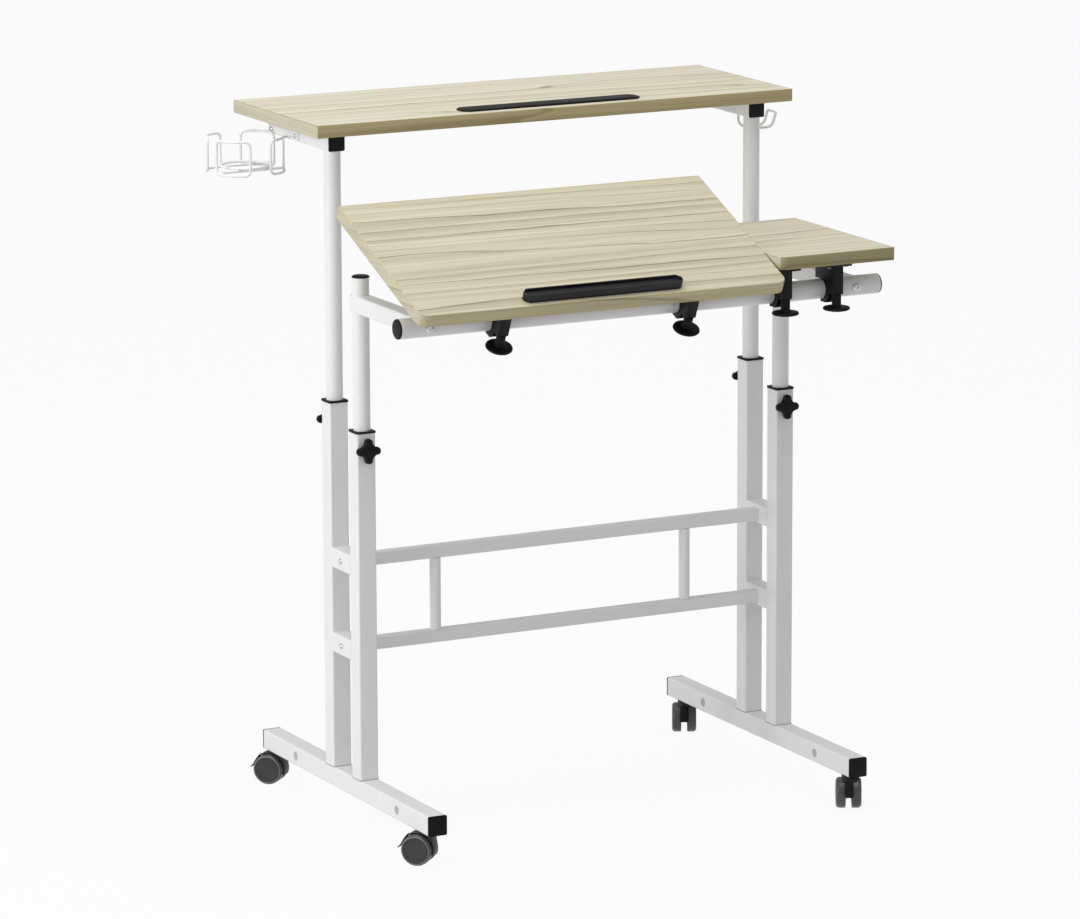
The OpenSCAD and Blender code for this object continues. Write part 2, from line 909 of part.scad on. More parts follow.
// One wire of the hook in the XZ plane, from its top end at the origin
module hook_wire() {
    r = hook_bend_r;
    lowest = 270;
    rod_z(-hook_leg, 0, wire_r, $fn = 24);
    translate([r, 0, -hook_leg]) upright_arc(r, 180, lowest);
    translate([r, 0, -hook_leg - r]) rod_x(0, hook_floor, wire_r, $fn = 24);
    translate([r + hook_floor, 0, -hook_leg]) {
        upright_arc(r, lowest, lowest + hook_open);
        translate([r * sin(hook_open), 0, -r * cos(hook_open)]) rotate([0, 90 - hook_open, 0]) {
            rod_z(0, hook_rise, wire_r, $fn = 24);
        }
    }
}

module accessory_hook() {
    start_x = arm_face + hook_plate_t + wire_r - wire_bite;
    start_z = hook_plate_z + hook_plate_h / 2;
    tip_x = start_x + hook_reach();
    tip_z = start_z - hook_leg - hook_bend_r * cos(hook_open) + hook_rise * sin(hook_open);
    color(powder) home() {
        for (s = [-1, 1]) {
            translate([start_x, hook_y + s * hook_gap / 2, start_z]) mirror([0, 1, 0]) hook_wire();
            translate([tip_x, hook_y + s * hook_gap / 2, tip_z]) sphere(r = wire_r + wire_swell, $fn = 24);
        }
        translate([tip_x, 0, tip_z]) {
            rod_y(hook_y - hook_gap / 2, hook_y + hook_gap / 2, wire_r, $fn = 24);
        }
        difference() {
            translate([arm_face, hook_y - hook_plate_l / 2, hook_plate_z - hook_plate_h / 2]) {
                cube([hook_plate_t, hook_plate_l, hook_plate_h]);
            }
            for (s = [-1, 1]) {
                translate([arm_face, hook_y + s * hook_gap / 4, hook_plate_z]) {
                    rod_x(-overrun, hook_plate_t + overrun, small_screw_r + loose_fit);
                }
            }
        }
    }
}

module accessory_screws() {
    color(steel) home() {
        for (s = [-1, 1]) {
            translate([-arm_face - bar_t, bar_y + s * bar_screw_gap / 2, bar_z]) rotate([0, 90, 0]) {
                pan_screw(small_head_r, small_head_t, small_screw_r, small_screw_l);
            }
            translate([arm_face + hook_plate_t, hook_y + s * hook_gap / 4, hook_plate_z]) {
                rotate([0, -90, 0]) pan_screw(small_head_r, small_head_t, small_screw_r, small_screw_l);
            }
        }
    }
}

// Desk carriage: front posts, desk arms and cross tube

module desk_post(side) {
    arm_start = cross_y;
    arm_end = front_y + arm_w / 2;
    post_top = cross_z + arm_w / 2 + post_above_arm;
    color(powder) home() translate([side * side_x, 0, 0]) difference() {
        union() {
            difference() {
                translate([0, 0, cross_z]) along_y(arm_start, arm_end) rounded_rect(arm_w, arm_w, arm_r);
                translate([0, 0, cross_z]) along_y(arm_start + cross_r + arm_block_l, arm_end - arm_wall) {
                    rounded_rect(arm_w - 2 * arm_wall, arm_w - 2 * arm_wall, arm_r - arm_wall);
                }
            }
            translate([0, front_y, 0]) rod_z(front_post_bottom, post_top, post_r);
        }
        translate([0, front_y, 0]) rod_z(front_post_bottom - overrun, post_top + overrun, post_r - post_wall);
        translate([0, cross_y, cross_z]) rod_x(-arm_w, arm_w, cross_r + plug_fit);
        translate([0, cross_y, cross_z]) rod_y(0, cross_r + arm_block_l + overrun, cross_screw_r + screw_fit);
    }
}

module desk_post_caps() {
    post_top = cross_z + arm_w / 2 + post_above_arm;
    color(black) home() for (side = [left, right]) {
        translate([side * side_x, front_y, post_top]) {
            rotate_extrude() polygon([
                [0, 0], [post_r + post_cap_over, 0], [post_r + post_cap_over, post_cap_t / 2],
                [post_r - post_wall, post_cap_t], [0, post_cap_t]
            ]);
            rod_z(-post_cap_plug, overrun, post_r - post_wall - plug_fit);
        }
    }
}

module cross_tube() {
    half = desk_w / 2 - cross_cap_t;
    color(powder) home() translate([0, cross_y, cross_z]) difference() {
        along_x(-half, half) ring(cross_r, cross_r - cross_wall);
        for (side = [left, right]) {
            translate([side * side_x, 0, 0]) rod_y(-cross_d, cross_d, cross_screw_r + loose_fit);
        }
    }
}

module cross_tube_caps() {
    plug_r = cross_r - cross_wall - plug_fit;
    color(black) home() translate([0, cross_y, cross_z]) for (turn = [0, 180]) {
        rotate([0, 0, turn]) translate([desk_w / 2 - cross_cap_t, 0, 0]) rotate([0, 90, 0]) {
            rotate_extrude() polygon([
                [0, 0], [cross_r, 0], [cross_r, cross_cap_t / 2], [cross_r - cross_wall, cross_cap_t],
                [0, cross_cap_t]
            ]);
            rotate([180, 0, 0]) translate([0, 0, -overrun]) cylinder(h = plug_l + overrun, r = plug_r);
        }
    }
}

module cross_tube_screws() {
    color(steel) home() for (side = [left, right]) {
        translate([side * side_x, cross_y, cross_z]) difference() {
            union() {
                rotate([-90, 0, 0]) translate([0, 0, -cross_r - cross_head_t]) rotate_extrude() polygon([
                    [0, 0], [cross_head_r * 0.6, 0], [cross_head_r, cross_head_t * 0.45],
                    [cross_head_r, 2 * cross_head_t], [0, 2 * cross_head_t]
                ]);
                rod_y(-cross_r - weld_bite, cross_r + arm_block_l - overrun, cross_screw_r);
            }
            difference() {
                rod_x(-cross_head_r - overrun, cross_head_r + overrun, cross_r + screw_fit);
                rod_y(-cross_d, cross_d, cross_screw_r);
            }
            translate([0, -cross_r - cross_head_t + recess_depth, 0]) for (turn = [0, 90]) {
                rotate([0, turn, 0]) translate([-recess_l / 2, -2 * recess_depth, -recess_w / 2]) {
                    cube([recess_l, 2 * recess_depth, recess_w]);
                }
            }
        }
    }
}

module front_post_guides() {
    color(black) home() for (side = [left, right]) {
        translate([side * side_x, front_y, 0]) post_guide(front_post_bottom);
    }
}

// Tilting boards and their clamps

module on_tube(tilt) {
    home() translate([0, cross_y, cross_z]) rotate([tilt, 0, 0]) children();
}

// A board outline with its two front corners rounded, from its front left corner
module board_outline(w, depth, left_r, right_r) {
    difference() {
        square([w, depth]);
        square([left_r, left_r]);
        translate([w - right_r, 0]) square([right_r, right_r]);
    }
    translate([left_r, left_r]) circle(r = left_r);
    translate([w - right_r, right_r]) circle(r = right_r);
}

module clamped_board(x0, w, front, left_r, right_r, clamps) {
    difference() {
        translate([x0, -front, clamp_h]) linear_extrude(board_t) {
            board_outline(w, board_depth, left_r, right_r);
        }
        for (x = clamps, dx = [-1, 1], y = [-plate_screw_front, plate_screw_back]) {
            translate([x + dx * plate_screw_x, y, clamp_h]) {
                rod_z(-overrun, plate_screw_into, plate_screw_r + screw_fit);
            }
        }
    }
}

module main_board() {
    color(oak) on_tube(main_tilt) {
        clamped_board(-main_left, main_w, main_front, corner_r, corner_r, main_clamps);
    }
}

module side_board() {
    color(oak) on_tube(0) {
        clamped_board(side_left, side_w, side_front, corner_r, sharp_r, side_clamps);
    }
}

// Outline of the ledge with its corners cut off, drawn in by an inset
module ledge_outline(inset) {
    half = ledge_l / 2 - inset;
    back = ledge_w - inset;
    cut = ledge_end - inset * mitre_share;
    polygon([
        [-half + cut, inset], [half - cut, inset], [half, inset + cut], [half, back - cut],
        [half - cut, back], [-half + cut, back], [-half, back - cut], [-half, inset + cut]
    ]);
}

module main_ledge() {
    color(black) on_tube(main_tilt) {
        translate([main_centre, -main_front + ledge_setback, clamp_h + board_t]) difference() {
            linear_extrude(ledge_h) ledge_outline(0);
            translate([0, 0, ledge_h - ledge_recess]) linear_extrude(ledge_recess + overrun) {
                ledge_outline(ledge_wall);
            }
        }
    }
}

module clamp_profile() {
    top = clamp_h - clamp_plate_t;
    low = -seat_r - clamp_lip;
    difference() {
        polygon([
            [-clamp_front, top], [-clamp_front, -clamp_block_bottom], [-clamp_toe, -clamp_block_bottom],
            [-clamp_toe, low + clamp_chamfer], [-clamp_toe + clamp_chamfer, low], [0, low], [0, 0],
            [0, seat_r], [clamp_back, seat_r], [clamp_back, top]
        ]);
        circle(r = seat_r, $fn = 96);
    }
}

module clamp_bracket() {
    top = clamp_h - clamp_plate_t;
    difference() {
        union() {
            along_x(-clamp_w / 2, clamp_w / 2) clamp_profile();
            translate([0, (clamp_plate_back - clamp_plate_front) / 2, top]) linear_extrude(clamp_plate_t) {
                rounded_rect(plate_w, clamp_plate_front + clamp_plate_back, plate_corner_r);
            }
        }
        translate([0, -clamp_axis, 0]) {
            rod_z(-clamp_block_bottom - overrun, clamp_bore_top, clamp_screw_r + clamp_screw_fit);
        }
        translate([0, 0, clamp_pin_z]) rod_y(-clamp_axis, 0, clamp_pin_r + screw_fit);
        for (dx = [-1, 1], y = [-plate_screw_front, plate_screw_back]) {
            translate([dx * plate_screw_x, y, top]) {
                rod_z(-overrun, clamp_plate_t + overrun, plate_screw_r + loose_fit);
            }
        }
    }
}

module clamp_brackets(tilt, clamps) {
    color(black) on_tube(tilt) for (x = clamps) {
        translate([x, 0, 0]) clamp_bracket();
    }
}

module clamp_screws(tilt, clamps) {
    color(steel) on_tube(tilt) for (x = clamps, dx = [-1, 1], y = [-plate_screw_front, plate_screw_back]) {
        translate([x + dx * plate_screw_x, y, clamp_h - clamp_plate_t]) {
            pan_screw(plate_head_r, plate_head_t, plate_screw_r, clamp_plate_t + plate_screw_into - overrun);
        }
    }
}

// Pressure pins between the screws' points and the tube
module clamp_pins(tilt, clamps) {
    from = -clamp_axis + clamp_screw_r + air;
    reach = sqrt(cross_r * cross_r - clamp_pin_z * clamp_pin_z);
    color(steel) on_tube(tilt) for (x = clamps) {
        translate([x, 0, clamp_pin_z]) difference() {
            rod_y(from, -reach + overrun, clamp_pin_r);
            translate([0, 0, -clamp_pin_z]) rod_x(-clamp_w, clamp_w, cross_r + air);
        }
    }
}

module clamp_knob(tilt, x) {
    r = clamp_knob_d / 2;
    neck_top = -clamp_block_bottom - air;
    disc_top = -clamp_block_bottom - clamp_knob_gap;
    disc_low = disc_top - clamp_knob_t;
    half = clamp_knob_t / 2;
    screw_top = clamp_pin_z + clamp_pin_r;
    on_tube(tilt) translate([x, -clamp_axis, 0]) {
        color(black) difference() {
            rotate_extrude($fn = 96) polygon([
                [0, disc_low], [r * clamp_knob_dish_share, disc_low], [r - half / 2, disc_low + half / 2],
                [r, disc_low + half], [r - half / 4, disc_top - half / 4],
                [r * clamp_knob_crown_share, disc_top],
                [clamp_neck_r + half / 2, disc_top], [clamp_neck_r, disc_top + half / 2],
                [clamp_neck_r, neck_top], [0, neck_top]
            ]);
            rod_z(disc_low + half, 0, clamp_screw_r + screw_fit);
        }
        color(steel) rotate_extrude() polygon([
            [0, disc_low + half + air], [clamp_screw_r, disc_low + half + air],
            [clamp_screw_r, screw_top - clamp_screw_r], [0, screw_top]
        ]);
    }
}

side_frame(left);  // side_frame_left
side_frame(right);  // side_frame_right
foot(left);  // foot_left
foot(right);  // foot_right
foot_end_caps();
crossbar(upper_rail_z);  // crossbar_upper
crossbar(lower_rail_z);  // crossbar_lower
brace_spindles();
crossbar_bolts();
foot_bolts();
upright_bushings();
knob_nuts();
caster_stems();
caster_housing(left, true);  // caster_front_left_housing
caster_wheels(left, true);  // caster_front_left_wheels
caster_brake(left, true);  // caster_front_left_brake
caster_housing(right, true);  // caster_front_right_housing
caster_wheels(right, true);  // caster_front_right_wheels
caster_brake(right, true);  // caster_front_right_brake
caster_housing(left, false);  // caster_rear_left_housing
caster_wheels(left, false);  // caster_rear_left_wheels
caster_brake(left, false);  // caster_rear_left_brake
caster_housing(right, false);  // caster_rear_right_housing
caster_wheels(right, false);  // caster_rear_right_wheels
caster_brake(right, false);  // caster_rear_right_brake
star_knob(left, true);  // knob_front_left
star_knob(right, true);  // knob_front_right
star_knob(left, false);  // knob_rear_left
star_knob(right, false);  // knob_rear_right
shelf_board();
shelf_stop_strip();
shelf_post(left);  // shelf_post_left
shelf_post(right);  // shelf_post_right
shelf_arm_caps();
shelf_screws();
cup_holder();
accessory_hook();
accessory_screws();
rear_post_guides();
desk_post(left);  // desk_post_left
desk_post(right);  // desk_post_right
desk_post_caps();
cross_tube();
cross_tube_caps();
cross_tube_screws();
front_post_guides();
main_board();
main_ledge();
clamp_brackets(main_tilt, main_clamps);  // main_clamp_brackets
clamp_screws(main_tilt, main_clamps);  // main_clamp_screws
clamp_pins(main_tilt, main_clamps);  // main_clamp_pins
side_board();
clamp_brackets(0, side_clamps);  // side_clamp_brackets
clamp_screws(0, side_clamps);  // side_clamp_screws
clamp_pins(0, side_clamps);  // side_clamp_pins
clamp_knob(main_tilt, main_clamps[0]);  // clamp_knob_main_left
clamp_knob(main_tilt, main_clamps[1]);  // clamp_knob_main_right
clamp_knob(0, side_clamps[0]);  // clamp_knob_side_left
clamp_knob(0, side_clamps[1]);  // clamp_knob_side_right
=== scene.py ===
"""Looks of a mobile standing desk: powder-coated steel frame, pale oak laminate boards,
black moulded clamps, knobs and casters."""

import json
import math

import bmesh
import bpy
from mathutils import Matrix, Vector

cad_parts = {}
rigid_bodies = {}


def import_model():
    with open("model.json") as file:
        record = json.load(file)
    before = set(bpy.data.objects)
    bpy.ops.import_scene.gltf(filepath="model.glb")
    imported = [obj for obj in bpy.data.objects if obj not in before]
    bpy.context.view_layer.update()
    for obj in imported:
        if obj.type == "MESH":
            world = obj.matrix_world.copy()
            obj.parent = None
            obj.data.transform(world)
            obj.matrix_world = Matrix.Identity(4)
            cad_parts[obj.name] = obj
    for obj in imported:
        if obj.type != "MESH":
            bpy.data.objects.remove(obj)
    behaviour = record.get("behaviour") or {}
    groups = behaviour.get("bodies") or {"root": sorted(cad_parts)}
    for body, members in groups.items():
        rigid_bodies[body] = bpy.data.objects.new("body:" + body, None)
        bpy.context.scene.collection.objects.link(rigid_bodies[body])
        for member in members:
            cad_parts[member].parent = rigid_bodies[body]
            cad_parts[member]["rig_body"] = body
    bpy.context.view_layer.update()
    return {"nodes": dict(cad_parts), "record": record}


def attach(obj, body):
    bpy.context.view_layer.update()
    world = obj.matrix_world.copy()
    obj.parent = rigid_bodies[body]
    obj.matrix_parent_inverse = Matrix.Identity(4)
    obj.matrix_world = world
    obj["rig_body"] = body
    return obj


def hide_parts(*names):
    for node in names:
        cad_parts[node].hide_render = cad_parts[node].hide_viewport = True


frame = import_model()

NODES = frame["nodes"]
MM = 0.001
SIDES = ((-1, "left"), (1, "right"))
ENDS = ((True, "front"), (False, "rear"))


# Selecting and shaping

def mm(*values):
    """Lengths in millimetres as metres."""
    return Vector([v * MM for v in values])


def deselect():
    if bpy.context.object and bpy.context.object.mode != "OBJECT":
        bpy.ops.object.mode_set(mode="OBJECT")
    bpy.ops.object.select_all(action="DESELECT")


def activate(piece):
    deselect()
    piece.select_set(True)
    bpy.context.view_layer.objects.active = piece


deselect()


# Colours and nodes

def srgb(hex_code):
    """An sRGB hex colour as the linear values that sockets take."""
    values = []
    for i in (1, 3, 5):
        c = int(hex_code[i:i + 2], 16) / 255
        values.append(c / 12.92 if c <= 0.04045 else ((c + 0.055) / 1.055) ** 2.4)
    return (*values, 1.0)


def add_node(tree, kind, inputs=None, **settings):
    """One shader node: its settings, and each input's value or the socket that feeds it."""
    node = tree.nodes.new(kind)
    for key, value in settings.items():
        setattr(node, key, value)
    for key, value in (inputs or {}).items():
        socket = node.inputs[key]
        if isinstance(value, bpy.types.NodeSocket):
            tree.links.new(value, socket)
        else:
            socket.default_value = value
    return node


def ramp(tree, fac, stops):
    """A colour ramp through (place, hex colour) stops."""
    node = add_node(tree, "ShaderNodeValToRGB", {"Fac": fac})
    elements = node.color_ramp.elements
    elements[0].position, elements[0].color = stops[0][0], srgb(stops[0][1])
    elements[1].position, elements[1].color = stops[-1][0], srgb(stops[-1][1])
    for place, colour in stops[1:-1]:
        elements.new(place).color = srgb(colour)
    return node.outputs["Color"]


def new_material(name):
    material = bpy.data.materials.new(name)
    material.use_nodes = True
    tree = material.node_tree
    shader = tree.nodes["Principled BSDF"]
    coords = add_node(tree, "ShaderNodeTexCoord").outputs["Object"]
    return material, tree, shader, coords


def bump(tree, shader, height, distance, strength):
    inputs = {"Height": height, "Distance": distance, "Strength": strength}
    node = add_node(tree, "ShaderNodeBump", inputs)
    tree.links.new(node.outputs["Normal"], shader.inputs["Normal"])


def powder_coat():
    """Polyester powder coat on steel: white, half gloss, with a faint orange peel about 2 mm across."""
    material, tree, shader, coords = new_material("powder_coat_white")
    fine = {"Vector": coords, "Scale": 480.0, "Detail": 1.5, "Roughness": 0.4}
    peel = add_node(tree, "ShaderNodeTexNoise", fine)
    cloud = add_node(tree, "ShaderNodeTexNoise", {"Vector": coords, "Scale": 6.0, "Detail": 2.0})
    tone = ramp(tree, cloud.outputs["Fac"], [(0.3, "#EDEDEE"), (0.7, "#F1F1F1")])
    tree.links.new(tone, shader.inputs["Base Color"])
    shader.inputs["Roughness"].default_value = 0.22
    shader.inputs["Specular IOR Level"].default_value = 0.5
    bump(tree, shader, peel.outputs["Fac"], 0.00002, 0.35)
    return material


def moulded_plastic(name="moulded_black", colour="#0E0E0F", worn="#141415", roughness=0.5, gloss=0.16):
    """Injection-moulded plastic: its surface scatters the light over a spark-eroded grain,
    drawn about 0.7 mm across, coarser than the real one, so that it shows."""
    material, tree, shader, coords = new_material(name)
    fine = {"Vector": coords, "Scale": 1400.0, "Detail": 2.0, "Roughness": 0.6}
    grain = add_node(tree, "ShaderNodeTexNoise", fine)
    cloud = add_node(tree, "ShaderNodeTexNoise", {"Vector": coords, "Scale": 25.0, "Detail": 2.0})
    tone = ramp(tree, cloud.outputs["Fac"], [(0.35, colour), (0.7, worn)])
    tree.links.new(tone, shader.inputs["Base Color"])
    shader.inputs["Roughness"].default_value = roughness
    shader.inputs["Specular IOR Level"].default_value = gloss
    bump(tree, shader, grain.outputs["Fac"], 0.00004, 0.5)
    return material


def zinc_plate():
    """Zinc-plated steel: silver, with the fine clouding of the plating bath."""
    material, tree, shader, coords = new_material("zinc_plate")
    cloud = add_node(tree, "ShaderNodeTexNoise", {"Vector": coords, "Scale": 300.0, "Detail": 3.0})
    tone = ramp(tree, cloud.outputs["Fac"], [(0.3, "#B9BBBD"), (0.7, "#D6D7D8")])
    tree.links.new(tone, shader.inputs["Base Color"])
    shader.inputs["Metallic"].default_value = 1.0
    shader.inputs["Roughness"].default_value = 0.3
    bump(tree, shader, cloud.outputs["Fac"], 0.00002, 0.3)
    return material


def oak_laminate(name, along, shift, light, mid, dark, line):
    """Pale oak melamine laminate: growth lines about 1.5 mm wide and mostly 20 to 40 mm apart,
    each shading off to one side, over faint streaks."""
    material, tree, shader, coords = new_material(name)
    turn = (0.0, 0.0, 0.0) if along == "X" else (0.0, 0.0, math.pi / 2)
    moved = {"Vector": coords, "Location": shift, "Rotation": turn}
    place = add_node(tree, "ShaderNodeMapping", moved).outputs["Vector"]
    lines_per_metre = 34.0

    def noise(scale, detail, roughness=0.5):
        stretched = add_node(tree, "ShaderNodeMapping", {"Vector": place, "Scale": scale}).outputs["Vector"]
        inputs = {"Vector": stretched, "Scale": 1.0, "Detail": detail, "Roughness": roughness}
        return add_node(tree, "ShaderNodeTexNoise", inputs).outputs["Fac"]

    def calc(operation, a, b=0.0):
        return add_node(tree, "ShaderNodeMath", {0: a, 1: b}, operation=operation).outputs["Value"]

    def blend(share, under, over, kind="MIX"):
        inputs = {"Factor": share, 6: under, 7: over}
        return add_node(tree, "ShaderNodeMix", inputs, data_type="RGBA", blend_type=kind).outputs[2]

    sides = add_node(tree, "ShaderNodeSeparateXYZ", {"Vector": place})
    across = calc("MULTIPLY", calc("ADD", sides.outputs["Y"], sides.outputs["Z"]), lines_per_metre)
    sway = calc("MULTIPLY", noise((0.8, 13.0, 13.0), 1.0), 5.0)
    ripple = calc("MULTIPLY", noise((5.0, 34.0, 34.0), 2.0), 0.5)
    ring = calc("FRACT", calc("ADD", across, calc("ADD", sway, ripple)))
    streaks = noise((1.3, 85.0, 85.0), 4.0, 0.6)
    base = ramp(tree, streaks, [(0.34, mid), (0.58, light)])
    shade = ramp(tree, ring, [(0.35, "#000000"), (0.93, "#FFFFFF"), (0.985, "#FFFFFF"), (1.0, "#000000")])
    depth = ramp(tree, noise((0.7, 26.0, 26.0), 1.0), [(0.38, "#1C1C1C"), (0.6, "#F4F4F4")])
    shaded = blend(calc("MULTIPLY", shade, depth), base, srgb(dark))
    thread = ramp(tree, ring, [(0.905, "#000000"), (0.935, "#FFFFFF"), (0.975, "#FFFFFF"), (0.99, "#000000")])
    vary = ramp(tree, noise((2.1, 31.0, 31.0), 2.0), [(0.36, "#5A5A5A"), (0.54, "#FFFFFF")])
    lined = blend(calc("MULTIPLY", thread, vary), shaded, srgb(line))
    pores = noise((3.5, 420.0, 420.0), 2.0)
    hairs = ramp(tree, pores, [(0.38, "#E2E2E2"), (0.56, "#FFFFFF")])
    tree.links.new(blend(0.6, lined, hairs, "MULTIPLY"), shader.inputs["Base Color"])
    shader.inputs["Roughness"].default_value = 0.48
    bump(tree, shader, pores, 0.00003, 0.25)
    return material


# Laminate tones, light, middle and dark, of the boards' faces, their long edge bands and their end bands,
# with painted light and shade in them: one laminate on every board, its tones differ from surface to surface
# by painted light and shade, and the edge bands are darker partly by their own colour, partly by painted
# shade
TONES = ("#E0DAC5", "#D6D0B8", "#C4BCA0")
SIDE_TONES = ("#DDD6C1", "#D2CBB4", "#C0B89C")
WORK_TONES = ("#D3CCB3", "#C8C1A6", "#B4AB8C")
EDGE_TONES = ("#B6A97E", "#AA9D71", "#998C62")
WORK_EDGE_TONES = ("#CEC29A", "#C2B68E", "#B0A47C")
SIDE_EDGE_TONES = ("#AB9F77", "#9F936B", "#8E825C")
END_TONES = ("#CFC8AF", "#C8C1A7", "#BFB89D")

COAT = powder_coat()
# Clamps, knobs and caps: deep black and nearly matt
BLACK = moulded_plastic()
# The ledge: a shade lighter, with a soft highlight
LEDGE_BLACK = moulded_plastic("ledge_plastic", "#171718", "#1C1C1D", 0.42, 0.3)
# Caster nylon: dark grey disc, darker hood, and a paler line round the rim
DARK = moulded_plastic("wheel_disc_nylon", "#363637", "#3D3D3E", 0.5, 0.3)
HOOD = moulded_plastic("caster_hood_nylon", "#2C2C2D", "#363637", 0.45, 0.3)
RIM = moulded_plastic("wheel_rim_nylon", "#7A7A7B", "#868687", 0.45, 0.3)
# Tread rubber: smoother than the nylon, so that it shines a little
TREAD = moulded_plastic("wheel_tread_rubber", "#454546", "#505051", 0.34, 0.5)
# Painted shade in the gap under an upright: a flat grey, as a thin shadow looks from afar
SEAM_SHADE = moulded_plastic("seam_shadow", "#6A6A6A", "#727272", 0.7, 0.1)
# Painted shade in the foot holes: light grey discs, half matt
HOLE_SHADE = moulded_plastic("hole_shade_grey", "#B8B8B9", "#BEBEBF", 0.5, 0.3)
ZINC = zinc_plate()

# Each laminate has its own cut of the pattern and tones painted with its surface's light and shade;
# its last colour is that of the growth lines
SHELF_FACE = oak_laminate("oak_laminate_shelf", "X", (0.0, 0.0, 0.0), *TONES, "#A0967A")
WORK_FACE = oak_laminate("oak_laminate_work_board", "X", (0.7, 0.31, 0.13), *WORK_TONES, "#8F866C")
SIDE_FACE = oak_laminate("oak_laminate_side_board", "X", (1.9, 0.57, 0.29), *SIDE_TONES, "#9A9076")
BAND_SHELF = oak_laminate("oak_edge_band_shelf", "X", (0.3, 0.11, 0.05), *EDGE_TONES, "#8E825C")
BAND_WORK = oak_laminate("oak_edge_band_work_board", "X", (0.9, 0.17, 0.45), *WORK_EDGE_TONES, "#A4986F")
BAND_SIDE = oak_laminate("oak_edge_band_side_board", "X", (1.3, 0.27, 0.65), *SIDE_EDGE_TONES, "#837851")
BAND_Y = oak_laminate("oak_edge_band_ends", "Y", (0.6, 0.21, 0.35), *END_TONES, "#BAB296")

# Every carried-over solid gets its finish
FINISHES = {
    "powder_white": COAT, "black_plastic": BLACK, "wheel_grey": DARK, "steel": ZINC,
    "oak_laminate": SHELF_FACE,
}
for row in frame["record"]["subparts"]:
    piece = NODES[row["node"]]
    piece.data.materials.clear()
    piece.data.materials.append(FINISHES[row["material_slot"]])


# Sizes and places in millimetres: X from the desk's middle, Y from its rear uprights, Z from the floor

# From there into the shared frame
SHIFT = mm(29.245405, 68.474545, 0)
HOME = Matrix.Translation(SHIFT)

TUBE_WIDTH = 30
UPRIGHT_X = 354.5
UPRIGHT_YS = ((-94, "front"), (0, "rear"))
FOOT_TOP = 80
FOOT_HOLE_Z = 65
FOOT_HOLE_YS = ((-232, "front"), (122, "rear"))
DESK_HALF = 400
BOARD_DEPTH = 300
SHELF_FRONT = -47.4
SHELF_TOP = 1061
SHELF_THICK = 19
TUBE_AXIS = mm(0, -307, 801)
WORK_TILT = math.radians(23.45)
WHEEL_RADIUS = 23.5
WHEEL_WIDTH = 14.5
WHEEL_HALF_GAP = 4.65
CASTER_TRAIL = 15
KNOB_RADIUS = 19
CUP_PLACE = mm(-427.08, 150, 970.0)
HOOK_PLACE = mm(371.1, 0, 1035)
WIRE_RADIUS = 2.0

# The tilting boards' undersides and tops, from the cross tube's axis
BOARD_LOW = 42.7
BOARD_THICK = 19.5
BOARD_TOP = BOARD_LOW + BOARD_THICK

# Y of the casters, and Y and Z of the star knobs, in front (True) and behind (False)
CASTER_YS = {True: -309, False: 212}
KNOB_PLACES = {True: (-109, 582.5), False: (15, 608)}

# How far the casters have swivelled, in degrees, on the left (-1) and on the right (1)
CASTER_TURNS = {-1: 44, 1: 152}


def on_tube(tilt):
    """Place of things clamped to the cross tube: X along the tube, Z square to the board."""
    return HOME @ Matrix.Translation(TUBE_AXIS) @ Matrix.Rotation(tilt, 4, "X")


def at_caster(side, front):
    """Place of a caster's axle, X along the axle."""
    stem = Matrix.Translation(mm(side * UPRIGHT_X, CASTER_YS[front], WHEEL_RADIUS))
    turn = Matrix.Rotation(math.radians(CASTER_TURNS[side]), 4, "Z")
    return HOME @ stem @ turn @ Matrix.Translation(mm(0, CASTER_TRAIL, 0))


def at_knob(side, front):
    """Place of a star knob, Z out of the upright's face."""
    y, z = KNOB_PLACES[front]
    out = Matrix.Rotation(math.radians(90 if front else -90), 4, "X")
    return HOME @ Matrix.Translation(mm(side * UPRIGHT_X, y, z)) @ out


def settle(piece, place):
    """Puts a piece in its place and leaves its object at the origin."""
    activate(piece)
    piece.matrix_world = place
    bpy.ops.object.transform_apply(location=True, rotation=True, scale=True)


# Modelling

def block(name, low, high):
    """A block between two corners in millimetres, the start of a piece."""
    deselect()
    low, high = mm(*low), mm(*high)
    bpy.ops.mesh.primitive_cube_add(size=1, location=(low + high) / 2)
    piece = bpy.context.object
    piece.name = name
    piece.scale = high - low
    bpy.ops.object.transform_apply(location=True, rotation=True, scale=True)
    return piece


def disc(name, radius, low, high, sides):
    """A round blank along Z in millimetres, the start of a turned piece."""
    deselect()
    middle = (low + high) / 2
    bpy.ops.mesh.primitive_cylinder_add(
        vertices=sides, radius=radius * MM, depth=(high - low) * MM, location=mm(0, 0, middle))
    piece = bpy.context.object
    piece.name = name
    bpy.ops.object.transform_apply(location=True, rotation=True, scale=True)
    return piece


def pick(piece, kind, test):
    """Selects in edit mode the faces or edges whose middle, in millimetres, and direction pass a test."""
    activate(piece)
    bpy.ops.object.mode_set(mode="EDIT")
    bpy.ops.mesh.select_mode(type=kind)
    bpy.ops.mesh.select_all(action="DESELECT")
    shape = bmesh.from_edit_mesh(piece.data)
    if kind == "FACE":
        for face in shape.faces:
            face.select_set(test(face.calc_center_median() / MM, face.normal))
    else:
        for edge in shape.edges:
            a, b = (v.co / MM for v in edge.verts)
            edge.select_set(test((a + b) / 2, (b - a).normalized()))
    bmesh.update_edit_mesh(piece.data)


def bevel(width, segments=2):
    bpy.ops.mesh.bevel(
        offset=width * MM, segments=segments, profile=0.5, affect="EDGES", clamp_overlap=True)


def inset(width, depth=0.0):
    bpy.ops.mesh.inset(thickness=width * MM, depth=depth * MM, use_even_offset=True)


def paint(piece, materials, choose):
    """Gives the piece its materials, and each face the one chosen by its middle and direction."""
    bpy.ops.object.mode_set(mode="OBJECT")
    piece.data.materials.clear()
    for material in materials:
        piece.data.materials.append(material)
    for face in piece.data.polygons:
        face.material_index = choose(face.center / MM, face.normal)


def smooth(piece, degrees=32):
    activate(piece)
    bpy.ops.object.shade_smooth_by_angle(angle=math.radians(degrees))


